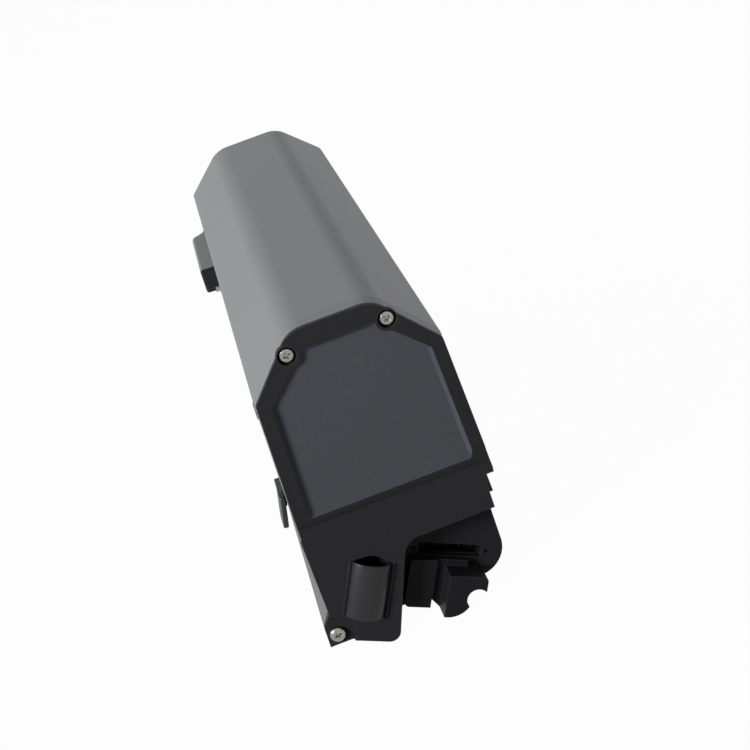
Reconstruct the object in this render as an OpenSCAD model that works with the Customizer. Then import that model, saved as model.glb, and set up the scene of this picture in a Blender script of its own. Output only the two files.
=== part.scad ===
// Battery of an electric bicycle, for the down tube. +X is to the right of someone who faces the
// dock end, +Y runs away from the dock end, +Z is up. The origin is the middle of the tray's underside.
// Places along the length are measured from the outer face of the near cap.

/* [Cover] */
// Length of the cover along its shoulders, from the near cap's face
cover_l = 400; // [320:5:460]
// How far the lower edges stand out past the tray
edge_out = 6.3; // [5:0.1:8]
// How far each side leans in from the lower edge up to the shoulder
side_draw = 3; // [1:0.25:4]
// Width of the flat roof between its corner points
roof_w = 40.6; // [30:0.2:56]
// Height of the roof above the shoulders
shoulder_drop = 28; // [22:0.5:32]
// Height of the shoulders above the lower edges
side_h = 74; // [66:1:90]
// Wall thickness of the cover
cover_wall = 2.8; // [2:0.1:3.6]
// Outer radius along the two roof corners
roof_round = 16; // [6:0.5:20]
// Outer radius along the two shoulders
shoulder_round = 4; // [1:0.5:8]
// How much sooner the roof ends than the shoulders, at the sloped far end
slope_run = 23; // [12:1:34]
// Length of the bevelled lip at the near end
lip_l = 7; // [4:0.5:10]
// How far the lip draws the outline in
lip_in = 1.2; // [0.6:0.1:1.8]
// Radius of the bosses inside that take the caps' screws
boss_out_r = 4.6; // [3.5:0.1:5]
// Length of those bosses
boss_out_l = 18; // [12:1:24]
// Thickness of the far cap
far_t = 3.2; // [2.4:0.2:4]
// How deep the far cap sits in the cover's end
far_inset = 1; // [0.5:0.1:2]
// Distance of the far cap's screws from the cover's side
far_screw_in = 7; // [6:0.5:10]
// Height of the lower far screws above the lower edge
far_screw_low = 10; // [8:0.5:20]
// Height of the upper far screws above the lower edge
far_screw_high = 62; // [50:1:66]

/* [Tray] */
// Width of the tray
tray_w = 83.4; // [80:0.2:86]
// Height of the tray up to the cover's lower edge
tray_h = 57; // [54:1:68]
// Outer radius of the tray's lower corners
tray_round = 15; // [8:0.5:18]
// Wall thickness of the tray
tray_wall = 2.8; // [2:0.1:3.4]
// Place of the tray's near wall
tray_start = 20; // [18:0.5:22]
// Distance from the tray's far wall to the cover's far edge
tray_short = 4; // [3:0.5:6]
// Thickness of the flange that carries the cover
flange_t = 3; // [2:0.5:4]
// Height of the ribs along the tray's floor
floor_rib_h = 2.4; // [1:0.2:4]
// Distance between those ribs
floor_rib_pitch = 44; // [30:1:60]

/* [Near cap] */
// How far the cap's edge stands out of the cover's end
cap_edge = 2.5; // [1.5:0.25:3.5]
// Thickness of the cap's plate behind its face
cap_t = 6; // [5.5:0.25:8]
// How far the cap's outline lies inside the cover's
cap_inset = 0.6; // [0.2:0.1:1]
// Width of the raised rim round the panel
rim_w = 6.2; // [5:0.2:9]
// Depth of the recessed panel
panel_depth = 2.5; // [1.5:0.25:3]
// Run of the panel's sloped wall
panel_slope = 2.4; // [1:0.2:4]
// Extra width of the rim under the roof
rim_top = 3.4; // [0:0.2:5]
// Height of the fold's upper edge above the cover's lower edge
fold_top = 16.5; // [12:0.5:18]
// Height of the fold itself
fold_h = 10; // [6:0.5:11]
// How far the lower wall lies behind the cap's face
wall_set = 5.5; // [4.5:0.5:6]
// Length of the spigot behind the plate
spigot_l = 4; // [3:0.5:4]
// Wall thickness of the spigot
spigot_t = 2.6; // [2:0.2:4]

/* [Foot] */
// How far the lower wall's right edge stands out past the tray
foot_out = 0.8; // [0.2:0.1:2]
// Thickness of the foot's front wall
front_t = 4; // [3.5:0.25:5]
// Thickness of the walls that run back to the tray
return_t = 3; // [2:0.25:3.5]
// Height of the dock opening's top edge above the tray's underside
arch_z = 39.5; // [38:0.5:44]
// Where the opening's left side meets its top edge
jamb_x = -2.3; // [-5:0.1:0]
// Lean of the opening's left side
jamb_lean = 20.8; // [15:0.2:24]
// Radius of the opening's upper left corner
arch_round = 10; // [6:0.5:12]
// Tilt of everything that meets the cradle, about the length
dock_tilt = 26; // [20:0.5:28]
// Radius of the leg's lower tip
tip_round = 5; // [3.6:0.2:6]
// Radius of the corner recess round the tab screw
tab_recess_r = 9.2; // [8:0.2:10]
// Depth of that recess
tab_recess = 1.6; // [1:0.2:2.4]

/* [Pin socket] */
// Outer radius of the half-round boss
boss_r = 10.4; // [9.5:0.1:10.6]
// Radius of its hollow
boss_bore_r = 8; // [6:0.1:8.2]
// How far its axis lies behind the wall's face
boss_set = 3.5; // [3:0.1:4]
// Length of the boss
boss_l = 28.4; // [22:0.2:30]
// Depth of the hollow
boss_depth = 24; // [15:0.5:25]
// Height of the relief above the boss
relief_h = 3.4; // [2:0.2:6]
// Place of the boss's top across the cap
boss_x = -20.3; // [-22:0.1:-18]
// Height of the boss's top
boss_z = 35.4; // [32:0.1:37]
// Width of the thin ridge on each flank of the boss
ridge_w = 1; // [0.6:0.1:1.6]
// How far the ridges stand out of the wall
ridge_out = 0.7; // [0.4:0.1:2]

/* [Dock claw] */
// Radius of the rod seat
rod_r = 5.4; // [4:0.1:6]
// Place of the rod's axis across the part
rod_x = 20.7; // [18:0.1:23]
// Height of the rod's axis
rod_z = -3.2; // [-6:0.1:-2]
// Thickness of the arm over the rod
arm_t = 6.4; // [5:0.1:8]
// How far the arm reaches past the rod's axis
arm_reach = 3.6; // [2:0.1:5]
// Radius of the arm's nose
nose_r = 2.4; // [1:0.1:3]
// Distance from the rod's axis to the back of the claw
claw_back = 15.4; // [13:0.1:17]
// Distance from the rod's axis to the claw's lower edge
claw_low = 10; // [8:0.1:11]
// Radius of the claw's belly under the rod
belly_r = 11.7; // [8:0.1:12]
// How far the belly stops short of the rod's axis
belly_short = 2.3; // [1.5:0.1:3]
// Depth of the near claw along the rod
claw_l = 11.5; // [9:0.5:13]
// Depth of the far claw along the rod
far_claw_l = 6; // [4:0.5:12]
// Thickness of the plate that carries claw and rib
base_t = 4; // [3:0.5:5]
// Width of the upright rib
rib_w = 13; // [10:0.2:14]
// Gap between the rib and the claw
rib_gap = 4.8; // [3:0.2:6]
// How far the rib stands out of its plate
rib_out = 2; // [1:0.5:4]
// Height of the plate's upper edge above the rod's axis
base_up = 15; // [13:0.5:15.5]

/* [Rails] */
// Height of a rail's foot
rail_h = 18; // [15:0.5:20]
// Width of a rail across its foot
rail_w = 11.2; // [10:0.1:12]
// Height of a rail's upright outer face
rail_side_h = 10.6; // [9:0.1:14]
// Lean of that face over its height
rail_lean = 0.4; // [0:0.1:1]
// Thickness of the rail's web
rail_web = 3; // [2:0.1:4]
// Height of the web's upper edge
web_h = 34; // [30:0.5:40]
// Place of the right rail's near end, behind the dock opening
right_start = 100; // [96:1:120]
// Number of screws in each rail
rail_screw_count = 4; // [2:1:6]

/* [Lock] */
// Distance of the housing's far corner from the cover's far edge
lock_far = 48; // [40:1:60]
// Length of the black near part
insert_l = 42; // [36:1:50]
// Length of the gray part
case_l = 72; // [60:1:80]
// Height of the housing's middle
lock_z = 107; // [104:1:109]
// Height of the housing
lock_h = 18; // [17:0.5:20]
// How far the gray part stands out
lock_out = 9.4; // [9.2:0.1:11]
// How much lower the black part's near end stands
lock_taper = 1.6; // [0.5:0.1:2.4]
// Run of the small slopes along the housing's outer edges
lock_slope = 1.2; // [0.6:0.2:2]
// Length over which the underside rises towards the near end
lock_rise = 56; // [50:1:60]
// Thickness left at the near tip
lock_tip = 2; // [1.5:0.25:4]
// Length over which the far end leans towards the cover
lock_draft = 6; // [2:0.5:8]
// Length over which both ends run out into the cover
flare_l = 17; // [8:1:24]
// Height at which that run begins
flare_h = 3; // [1.5:0.25:4]
// Radius of the lock barrel
barrel_r = 6; // [5:0.1:6.5]
// Place of the barrel beyond the black part
barrel_in = 30; // [22:1:40]
// Depth of the barrel
barrel_l = 3.4; // [3:0.1:3.6]
// Width of the keyway
key_w = 1.6; // [1:0.1:2.4]
// Length of the keyway
key_l = 7; // [5:0.5:8]
// Depth of the keyway
key_depth = 2.4; // [1.5:0.1:2.6]
// Width of the latch bolt
bolt_w = 10; // [7:0.5:12]
// Thickness of the latch bolt
bolt_t = 3.4; // [2.8:0.1:3.6]
// Length of the latch bolt
bolt_l = 13; // [12:0.5:13.5]
// How far the bolt stands out when locked
bolt_out = 6; // [4:0.5:6.5]
// How far the bolt draws back
bolt_travel = 6; // [4:0.5:6]
// Thickness of the wall between the bolt and the cover
bolt_back = 1.4; // [1:0.1:1.6]

/* [Charge port] */
// Place of the port
port_y = 18; // [17.5:0.5:24]
// Height of the port
port_z = 75; // [73:0.5:80]
// Radius of the hole in the cover
port_r = 4; // [3.6:0.1:4.2]
// Outer radius of the socket behind the cover
socket_r = 5.4; // [5:0.1:6]
// Radius of the socket's bore
socket_bore_r = 3; // [2.8:0.1:3.2]
// Depth of the socket's bore
socket_bore_l = 9; // [6:0.5:11]
// Radius of the pin in its middle
socket_pin_r = 0.9; // [0.6:0.1:1.2]
// How far the pin's end lies behind the cover's outside
socket_pin_in = 3; // [2:0.5:5]
// Length of the socket behind the cover's outside
socket_l = 14; // [12:0.5:16]
// Width of the rubber flap
flap_w = 18; // [16:0.5:18]
// Length of the flap from its hinge
flap_l = 15.5; // [12:0.5:16]
// Thickness of the flap
flap_t = 2.4; // [1.4:0.1:2.6]
// Radius of the flap's corners
flap_round = 4; // [2:0.5:5]
// Distance of the hinge above the port
hinge_up = 4.6; // [4.4:0.1:5.5]
// How far the flap stands open at rest
flap_rest = 10; // [2:0.5:12]
// Radius of the plug on the flap's inside
flap_plug_r = 2.4; // [2:0.1:2.5]
// Length of that plug
flap_plug_l = 1; // [0.6:0.1:1.2]
// Length of the flap's anchor above the hinge
anchor_l = 2.6; // [2:0.2:4]
// Height of the anchor's stem that goes through the cover
stem_h = 1.6; // [1:0.1:2]
// Width of that stem
stem_w = 10; // [6:0.5:12]

/* [Gauge] */
// Place of the button
button_y = 64; // [60:1:80]
// Height of button and window
gauge_z = 104; // [98:1:108]
// Radius of the button
button_r = 4.5; // [3.5:0.1:5.5]
// How far the button stands out
button_out = 1.4; // [1.2:0.1:2]
// Travel of the button
button_travel = 1; // [0.6:0.1:1.1]
// Distance from the button to the window
window_gap = 9; // [7:0.5:14]
// Length of the window
window_l = 26; // [16:1:36]
// Height of the window
window_h = 6; // [4:0.5:9]
// Width of the rim behind the window and the button
gauge_rim = 1.2; // [0.8:0.1:2]
// How far the gauge's board reaches past button and window
gauge_over = 2.2; // [1.5:0.1:4]

/* [Cells] */
// Radius of a cell
cell_r = 10.5; // [9:0.1:10.6]
// Space between a cell's end and the tray's wall
cell_side = 3.9; // [3:0.1:5]
// Distance between cells, centre to centre
cell_pitch = 22; // [21.6:0.1:22.2]
// Space kept behind the cells for the far foam and the far cap's bosses
cells_far = 36; // [30:1:50]
// Number of cells up the height
cell_rows = 5; // [3:1:5]
// Place of the first cell's near side
cells_start = 46; // [45:1:50]
// Height of the lowest cells above the tray's underside
cells_up = 8.4; // [8:0.1:9]
// Depth of the holders along a cell
holder_l = 5; // [3:0.5:12]
// Width of the holders' raised frame
holder_frame = 2.6; // [2:0.1:3]
// Thickness of the nickel strips
strip_t = 0.3; // [0.2:0.05:0.5]
// Width of the strip over each column of cells
strip_w = 12; // [8:0.5:14]
// Height of a link between two columns
link_h = 7; // [4:0.5:12]

/* [Electronics] */
// Length of the battery management board
board_l = 150; // [120:5:180]
// Width of the board
board_w = 62; // [50:1:66]
// Place of the board's near end
board_start = 66; // [62:1:80]
// Thickness of the boards
board_t = 1.6; // [1:0.1:2]
// Height of the posts that carry the board
post_h = 5; // [4:0.5:7]
// Number of transistors
fet_count = 6; // [3:1:8]
// Width of a transistor
fet_w = 10; // [8:0.5:11]
// Height of a transistor
fet_h = 4.4; // [3:0.2:5]
// Height of the heat spreader on the transistors
spreader_h = 5; // [3:0.5:7]
// Distance of the transistors from the board's near end
fet_edge = 10; // [6:1:16]
// Distance of the transistors from the middle
fet_x = 15; // [12:1:20]
// Distance between transistors, middle to middle
fet_pitch = 15; // [12:0.5:17]
// Radius of the capacitors
can_r = 4; // [3:0.5:5]
// Height of the capacitors
can_h = 9; // [6:0.5:11]
// Number of capacitors
can_count = 3; // [1:1:4]
// Distance between capacitors
can_pitch = 16; // [12:1:20]
// Length of the current shunt
shunt_l = 20; // [12:1:24]
// Height of the current shunt
shunt_h = 2.2; // [1:0.2:3]
// Place of the shunt along the board
shunt_in = 90; // [80:1:100]
// Radius of the discharge leads
lead_r = 1.8; // [1.2:0.1:1.9]
// Bend radius of the discharge leads
lead_bend = 4; // [3:0.5:5]
// How far the leads reach over the board
lead_over = 5; // [3:0.5:8]
// Distance of the connector's middle from the rod's axis, across the dock's tilt
plug_in = 13.5; // [13:0.5:14]
// Height of the connector's middle above the rod's axis, along that tilt
plug_up = 18.4; // [18.4:0.1:19]
// Width of the opening in front of the connector
mouth_w = 31; // [28:0.5:31.5]
// Height of that opening
mouth_h = 6.2; // [5:0.2:6.4]
// Wall of the connector round its contacts
plug_wall = 1.5; // [1:0.1:1.5]
// Length of the flange at each end of the connector
plug_rim = 5; // [4.4:0.2:5.4]
// Thickness of the flange
plug_t = 2.5; // [2:0.25:3]
// Depth of the hollow round the contacts
plug_hollow = 7; // [5:0.5:9]
// Length of the connector's body
plug_l = 12; // [10:0.5:13]
// Number of blades
blade_count = 5; // [3:1:6]
// Thickness of a blade
blade_t = 0.8; // [0.6:0.1:1]
// Height of a blade
blade_h = 3.4; // [2.8:0.2:3.8]
// How far the blades stay behind the tray's wall
blade_in = 4; // [0.5:0.25:5]
// Width of the fuse holder
fuse_w = 24; // [18:1:30]
// Height of the fuse holder
fuse_h = 16; // [12:1:20]
// Depth of the fuse holder
fuse_l = 10; // [8:0.5:12]
// Wall thickness of the fuse holder
fuse_t = 2.4; // [1.6:0.1:3]
// Height of the fuse holder above the near foam pad
fuse_up = 16; // [4:1:20]
// Thickness of the near foam pad
near_foam_l = 14; // [8:1:16]
// Height of the foam pads
foam_h = 36; // [20:1:60]

/* [Screws] */
// Head radius of the cap screws
head_r = 3.2; // [2.6:0.1:3.6]
// Head height of the cap screws
head_h = 2.2; // [1.6:0.1:2.4]
// Shank radius of the cap screws
shank_r = 1.5; // [1.2:0.05:1.8]
// Length of the cap screws below the head
shank_l = 14; // [10:0.5:16]
// Head radius of the larger screws
big_head_r = 3.85; // [3.2:0.05:4.2]
// Head height of the larger screws
big_head_h = 2.6; // [2:0.1:3]
// Shank radius of the larger screws
big_shank_r = 1.95; // [1.5:0.05:2.2]
// Length of the larger screws below the head
big_shank_l = 16; // [10:0.5:20]
// Head radius of the connector's screws
small_head_r = 1.9; // [1.5:0.1:2.2]
// Head height of the connector's screws
small_head_h = 1.4; // [1:0.1:1.6]
// Shank radius of the connector's screws
small_shank_r = 1; // [0.8:0.05:1.2]
// Length of the connector's screws below the head
small_shank_l = 5; // [4:0.5:5]
// Radius of the cap's counterbores
counter_r = 4.4; // [4:0.1:4.6]
// Depth of the cap's counterbores
counter_depth = 3; // [2.6:0.1:3.2]
// Distance of a cap screw from the middle
screw_x = 23.6; // [21:0.1:25]
// Height of the cap screws above the shoulders
screw_up = 17; // [15:0.1:18]
// Distance of the tab screw from the tray's side
tab_screw_out = 5.8; // [5.2:0.1:6.2]
// Height of the tab screw
tab_screw_z = 5.9; // [5.5:0.1:7]

/* [Hidden] */

$fn = 48;
// Facets of the cells and their pockets
cell_fn = 12;
// Degrees that one facet of a rounded corner turns
arc_step = 7.5;

// Overrun of every cut
over = 1;
// Gap between pieces that touch nothing
gap = 0.3;
// Radial play of the lock barrel
barrel_play = 0.05;
// Play round the latch bolt and the button
slide_play = 0.3;
// Thickness of the thin outlines that a sloped wall is drawn between
skin = 0.02;
// Step where a lofted surface meets a drawn one
seam = 0.05;
// Width of a seal
seal_w = 2;
// Thickness of a seal
seal_t = 1.2;

gray = "#77787a";
black = "#2b2c30";
dark = "#202124";
steel = "#b9bbbd";
brass = "#c28f3a";
red = "#a3262a";
aluminium = "#a9abae";
board_green = "#1f5a38";
cell_blue = "#3f6f9f";
nickel = "#c9c7c0";
smoke = "#5a6064";
foam = "#3a3b3d";

near_y = -cover_l / 2;
edge_w = tray_w + edge_out * 2;
shoulder_w = edge_w - side_draw * 2;
foot_left = edge_w / 2;
foot_right = tray_w / 2 + foot_out;
tab_screw_x = tray_w / 2 + tab_screw_out;
edge_z = tray_h;
shoulder_z = edge_z + side_h;
roof_z = shoulder_z + shoulder_drop;
side_lean = atan(side_draw / side_h);
slope_lean = atan(slope_run / shoulder_drop);
tray_end = cover_l - tray_short;
fold_z = edge_z + fold_top;
fold_foot = fold_z - fold_h;
wall_back = wall_set + front_t;
spigot_end = cap_t + spigot_l;
far_face = cover_l - far_inset;
far_back = far_face - far_t;
far_screw_zs = [edge_z + far_screw_low, edge_z + far_screw_high];
cap_screw_z = shoulder_z + screw_up;
cover_points = [[-edge_w / 2, edge_z], [edge_w / 2, edge_z], [shoulder_w / 2, shoulder_z],
                [roof_w / 2, roof_z], [-roof_w / 2, roof_z], [-shoulder_w / 2, shoulder_z]];
cover_radii = [0, 0, shoulder_round, roof_round, roof_round, shoulder_round];
plug_fit = cover_wall + gap;
lock_l = insert_l + case_l;
lock_start = cover_l - lock_far - lock_l;
barrel_y = insert_l + barrel_in;
bolt_low = -lock_h / 2 - bolt_out;
hinge_lift = flap_t / 2 + gap;
anchor_low = hinge_up + flap_t / 2 + gap;
gauge_top = -cover_wall - gap * 2 - gauge_rim - button_travel;
bracket_shank_l = tray_wall + base_t - nose_r;
wall_in = tray_start + tray_wall;
cell_l = tray_w - (tray_wall + cell_side) * 2;
cell_columns = floor((tray_end - tray_wall - cells_far - cells_start) / cell_pitch);
cells_end = cells_start + cell_pitch * (cell_columns - 1) + cell_r * 2;
cells_high = cells_up + cell_pitch * (cell_rows - 1) + cell_r * 2;
board_z = cells_high + holder_frame + post_h;
board_top = board_z + board_t;
fet_start = board_start + fet_edge;
fuse_y = cells_start - holder_frame;
fuse_z = cells_up + foam_h + fuse_up;
lead_y = cells_start - holder_frame - lead_r - gap;
plug_h = mouth_h + plug_wall * 2;
plug_screw_x = (mouth_w + plug_rim) / 2;
blade_step = (mouth_w - plug_wall) / blade_count;

function unit(v) = v / norm(v);
function at(points, i) = points[(i + len(points)) % len(points)];
function turned(v) = [-v.y, v.x];
function area2(a, b) = a.x * b.y - a.y * b.x;

// Where the line through p along u meets the line through q along v
function meet(p, u, q, v) = p + u * area2(q - p, v) / area2(u, v);

// A counterclockwise outline with every side moved inwards by d
function inset(points, d) = [
    for (i = [0:len(points) - 1])
        let (a = at(points, i - 1), p = at(points, i), b = at(points, i + 1))
        meet(p + turned(unit(p - a)) * d, p - a, p + turned(unit(b - p)) * d, b - p)];
function smaller(radii, d) = [for (r = radii) max(r - d, 0)];

function half_angle(a, p, b) = acos(unit(a - p) * unit(b - p)) / 2;
function corner_cut(a, p, b, r) = r / tan(half_angle(a, p, b));
function corner_centre(a, p, b, r) = p + unit(unit(a - p) + unit(b - p)) * r / sin(half_angle(a, p, b));
function rotated(v, t) = [v.x * cos(t) - v.y * sin(t), v.x * sin(t) + v.y * cos(t)];

// The points of an arc of radius r in the corner p between a and b
function corner_points(a, p, b, r) = r > 0
    ? let (c = corner_centre(a, p, b, r), sweep = 180 - half_angle(a, p, b) * 2,
           way = sign(area2(p - a, b - p)), n = ceil(sweep / arc_step))
      [for (i = [0:n]) c + rotated(p + unit(a - p) * corner_cut(a, p, b, r) - c, way * sweep * i / n)]
    : [p];

// Distance of the cover's outer side from the middle at a height
function side_x(z) = edge_w / 2 - (z - edge_z) * tan(side_lean);

// A convex outline with a radius at each corner
module rounded(points, radii) {
    polygon([for (i = [0:len(points) - 1])
        each corner_points(at(points, i - 1), points[i], at(points, i + 1), radii[i])]);
}

// The material that fills an inner corner with a radius
module fillet(a, p, b, r) {
    polygon([p, each corner_points(a, p, b, r)]);
}

// A flat rectangle between two corners
module area(low, high) {
    translate(low)
        square(high - low);
}

// A flat rectangle about a middle point
module pad(x, y, w, h) {
    area([x - w / 2, y - h / 2], [x + w / 2, y + h / 2]);
}

// An X-Z outline drawn out along the length, between two places measured from the near face
module along_length(start, end) {
    translate([0, near_y + end, 0])
        rotate([90, 0, 0])
            linear_extrude(height = end - start)
                children();
}

// A Y-Z outline drawn out across the part
module across(left, right) {
    translate([left, near_y, 0])
        rotate([90, 0, 90])
            linear_extrude(height = right - left)
                children();
}

// A block between two corners
module block(low, high) {
    translate([low.x, near_y + low.y, low.z])
        cube(high - low);
}

// A cylinder along the length
module rod_along(x, z, start, end, r) {
    along_length(start, end)
        translate([x, z])
            circle(r = r);
}

// The frame of the cover's left side: X up the side, Y along the length, Z outwards
module on_left_side(y, z) {
    translate([-side_x(z), near_y + y, z])
        rotate([0, side_lean - 90, 0])
            children();
}

// In that frame, a Y-Z outline drawn out up the side
module up_side(low, high) {
    translate([low, 0, 0])
        rotate([90, 0, 90])
            linear_extrude(height = high - low)
                children();
}

// In that frame, an X-Y outline drawn out of the side
module out_of_side(low, high) {
    translate([0, 0, low])
        linear_extrude(height = high - low)
            children();
}

// The dock's tilted frame about the rod's axis, in the X-Z plane
module on_rod() {
    translate([rod_x, rod_z])
        rotate(-dock_tilt)
            children();
}

// A pan head screw along the length; way is 1 when its head faces the near end
module screw_along(x, z, seat, way, r, h, shank, length) {
    head_end = seat - way * h;
    shank_end = seat + way * length;
    rod_along(x, z, min(seat, head_end), max(seat, head_end), r);
    rod_along(x, z, min(seat, shank_end), max(seat, shank_end), shank);
}

/* Cover */

module cover_section(d) {
    rounded(inset(cover_points, d), smaller(cover_radii, d));
}

// The hollow's section, open at the bottom
module cover_hollow() {
    cover_section(cover_wall);
    area([-side_x(edge_z) + cover_wall, edge_z - over],
         [side_x(edge_z) - cover_wall, edge_z + cover_wall]);
}

// What the slope at the far end cuts away
module far_slope() {
    across(-edge_w, edge_w)
        polygon([[cover_l - slope_run - over * tan(slope_lean), roof_z + over],
                 [cover_l + over * tan(slope_lean), shoulder_z - over],
                 [cover_l + over * 2, shoulder_z - over], [cover_l + over * 2, roof_z + over]]);
}

module cap_bosses(start, end, r) {
    for (side = [-1, 1])
        rod_along(side * screw_x, cap_screw_z, start, end, r);
}

module far_bosses(start, end, r) {
    for (side = [-1, 1])
        for (z = far_screw_zs)
            rod_along(side * (side_x(z) - far_screw_in), z, start, end, r);
}

module shell_cover() {
    boss_end = far_back - boss_out_l;
    color(gray)
        difference() {
            union() {
                difference() {
                    union() {
                        along_length(cap_edge + lip_l, cover_l)
                            cover_section(0);
                        hull() {
                            along_length(cap_edge, cap_edge + skin)
                                cover_section(lip_in);
                            along_length(cap_edge + lip_l, cap_edge + lip_l + skin)
                                cover_section(seam);
                        }
                    }
                    along_length(cap_edge - over, cover_l + over)
                        cover_hollow();
                    far_slope();
                    block([-edge_w, 0, edge_z - over], [edge_w, wall_set + cap_edge, fold_z]);
                }
                on_left_side(lock_start, lock_z)
                    lock_ramp();
                intersection() {
                    union() {
                        cap_bosses(spigot_end, spigot_end + boss_out_l, boss_out_r);
                        far_bosses(boss_end, far_back, boss_out_r);
                    }
                    along_length(0, cover_l)
                        cover_section(cover_wall / 2);
                }
            }
            cap_bosses(0, counter_depth, counter_r);
            cap_bosses(0, spigot_end + boss_out_l - cover_wall, shank_r);
            far_bosses(boss_end + cover_wall, far_back + over, shank_r);
            on_left_side(port_y, port_z) {
                out_of_side(-cover_wall * 2, over) {
                    circle(r = port_r);
                    stem_outline(gap / 2);
                }
            }
            on_left_side(button_y, gauge_z)
                out_of_side(-cover_wall * 2, over) {
                    circle(r = button_r + slide_play);
                    window_outline(0);
                }
        }
}

/* Near cap */

// The cap's outline, d further in
module cap_section(d) {
    rounded(inset(cover_points, cap_inset + d), smaller(cover_radii, cap_inset + d));
}

jamb_top = [jamb_x, arch_z];
jamb_way = [-sin(jamb_lean), -cos(jamb_lean)];
leg_corner = [-tray_w / 2, 0];
tip = meet(jamb_top, jamb_way, leg_corner, [cos(dock_tilt), -sin(dock_tilt)]);
leg_points = [[-tray_w / 2, edge_z], leg_corner, tip, jamb_top, [jamb_x, edge_z]];

// The leg and the beam over the opening, as far as they run back to the tray
module foot_core(d) {
    rounded(inset(leg_points, d), smaller([0, 0, tip_round, 0, 0], d));
    area([-tray_w / 2 + d, arch_z + d], [foot_right - d, edge_z - d]);
}

// The front wall below the cover's lower edge, with the tab that covers the rail's end
module foot_front() {
    foot_core(0);
    area([-foot_left, rail_h], [-tray_w / 2 + over, edge_z]);
    polygon([[-foot_left, rail_h + over], [-foot_left, rail_h],
             [-tray_w / 2 - rail_w + rail_lean, rail_side_h], [-tray_w / 2 - rail_w, 0],
             leg_corner, [-tray_w / 2, rail_h + over]]);
    fillet(jamb_top + jamb_way, jamb_top, [foot_right, arch_z], arch_round);
}

// Side view of the plate that covers the cover's end: face, fold and lower wall
module edge_profile() {
    polygon([[0, roof_z + over], [0, fold_z], [wall_set, fold_foot], [wall_set, edge_z],
             [wall_set + cap_edge, edge_z], [wall_set + cap_edge, fold_z], [cap_edge, fold_z],
             [cap_edge, roof_z + over]]);
}

// Side view of the plate inside the cover
module inner_profile() {
    polygon([[over / 2, roof_z + over], [over / 2, fold_z], [wall_set + over / 2, fold_foot],
             [wall_set + over / 2, edge_z], [wall_back, edge_z], [wall_back, fold_z],
             [cap_t, fold_z + front_t], [cap_t, roof_z + over]]);
}

// One layer of the recess in the face
module panel_layer(d, start, end) {
    s = inset(cover_points, rim_w + d);
    low = fold_foot - s[0].y;
    along_length(start, end)
        rounded([s[0] + [0, low], s[1] + [0, low], s[2], s[3] - [0, rim_top], s[4] - [0, rim_top], s[5]],
                [0, 0, panel_slope, panel_slope, panel_slope, panel_slope]);
}

// The recess, with a wall that slopes in towards the panel
module panel_recess() {
    difference() {
        hull() {
            panel_layer(0, -over, -over + skin);
            panel_layer(panel_slope, panel_depth - skin, panel_depth);
        }
        cap_bosses(-over * 2, cap_t, counter_r + panel_slope / 2);
    }
}

// The frame of the half-round boss: Z up its axis
module boss_frame() {
    translate([boss_x, near_y + wall_set + boss_set, boss_z])
        rotate([0, dock_tilt, 0])
            children();
}

// The boss with its flank ridges, as far as the foot reaches
module boss() {
    intersection() {
        boss_frame()
            translate([0, 0, -boss_l]) {
                cylinder(h = boss_l, r = boss_r);
                for (side = [-1, 1])
                    translate([side * boss_r - ridge_w / 2, -boss_set - ridge_out, 0])
                        cube([ridge_w, ridge_out + boss_set, boss_l]);
            }
        along_length(0, tray_start)
            foot_core(0);
    }
}

module boss_hollow() {
    boss_frame() {
        translate([0, 0, -boss_depth])
            cylinder(h = boss_depth, r = boss_bore_r);
        cylinder(h = relief_h, r1 = boss_r, r2 = boss_set);
    }
}

// The collar behind the plate that fills the cover's end
module spigot() {
    difference() {
        along_length(cap_t - over, spigot_end)
            intersection() {
                union() {
                    difference() {
                        cover_section(plug_fit);
                        cover_section(plug_fit + spigot_t);
                    }
                    for (side = [-1, 1])
                        translate([side * screw_x, cap_screw_z])
                            circle(r = boss_out_r);
                }
                cover_section(plug_fit);
            }
    }
}

// The part of the cover's width that is free above its lower edge
module sill_outline(height) {
    polygon([[-side_x(edge_z) + plug_fit, edge_z], [side_x(edge_z) - plug_fit, edge_z],
             [side_x(edge_z + height) - plug_fit, edge_z + height],
             [-side_x(edge_z + height) + plug_fit, edge_z + height]]);
}

module near_cap() {
    color(black)
        difference() {
            union() {
                difference() {
                    union() {
                        intersection() {
                            across(-edge_w, edge_w)
                                edge_profile();
                            along_length(-over, wall_back)
                                union() {
                                    cap_section(0);
                                    area([-edge_w / 2 + cap_inset, edge_z],
                                         [edge_w / 2 - cap_inset, edge_z + cap_inset + over]);
                                }
                        }
                        intersection() {
                            across(-edge_w, edge_w)
                                inner_profile();
                            along_length(0, wall_back)
                                union() {
                                    cover_section(plug_fit);
                                    sill_outline(plug_fit + over);
                                }
                        }
                    }
                    panel_recess();
                }
                spigot();
                along_length(wall_set, wall_back)
                    foot_front();
                along_length(wall_back - over, tray_start)
                    difference() {
                        foot_core(0);
                        foot_core(return_t);
                    }
                along_length(wall_back - over, tray_start + tray_wall)
                    sill_outline(flange_t);
                boss();
            }
            boss_hollow();
            seal_ring(cap_t + gap);
            cap_bosses(-over, counter_depth, counter_r);
            cap_bosses(0, spigot_end + over, shank_r);
            rod_along(-tab_screw_x, tab_screw_z, wall_set - over, wall_set + tab_recess, tab_recess_r);
            rod_along(-tab_screw_x, tab_screw_z, wall_set, wall_back + over, big_shank_r);
        }
}

// A rubber ring between a cap's collar and the cover
module seal_ring(start) {
    along_length(start, start + seal_w)
        difference() {
            cover_section(cover_wall);
            cover_section(plug_fit + seal_t);
            area([-edge_w, edge_z], [edge_w, fold_z + gap]);
        }
}

module cap_seal() {
    color(dark)
        difference() {
            seal_ring(cap_t + gap);
            cap_bosses(0, spigot_end, shank_r + gap);
        }
}

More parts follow.
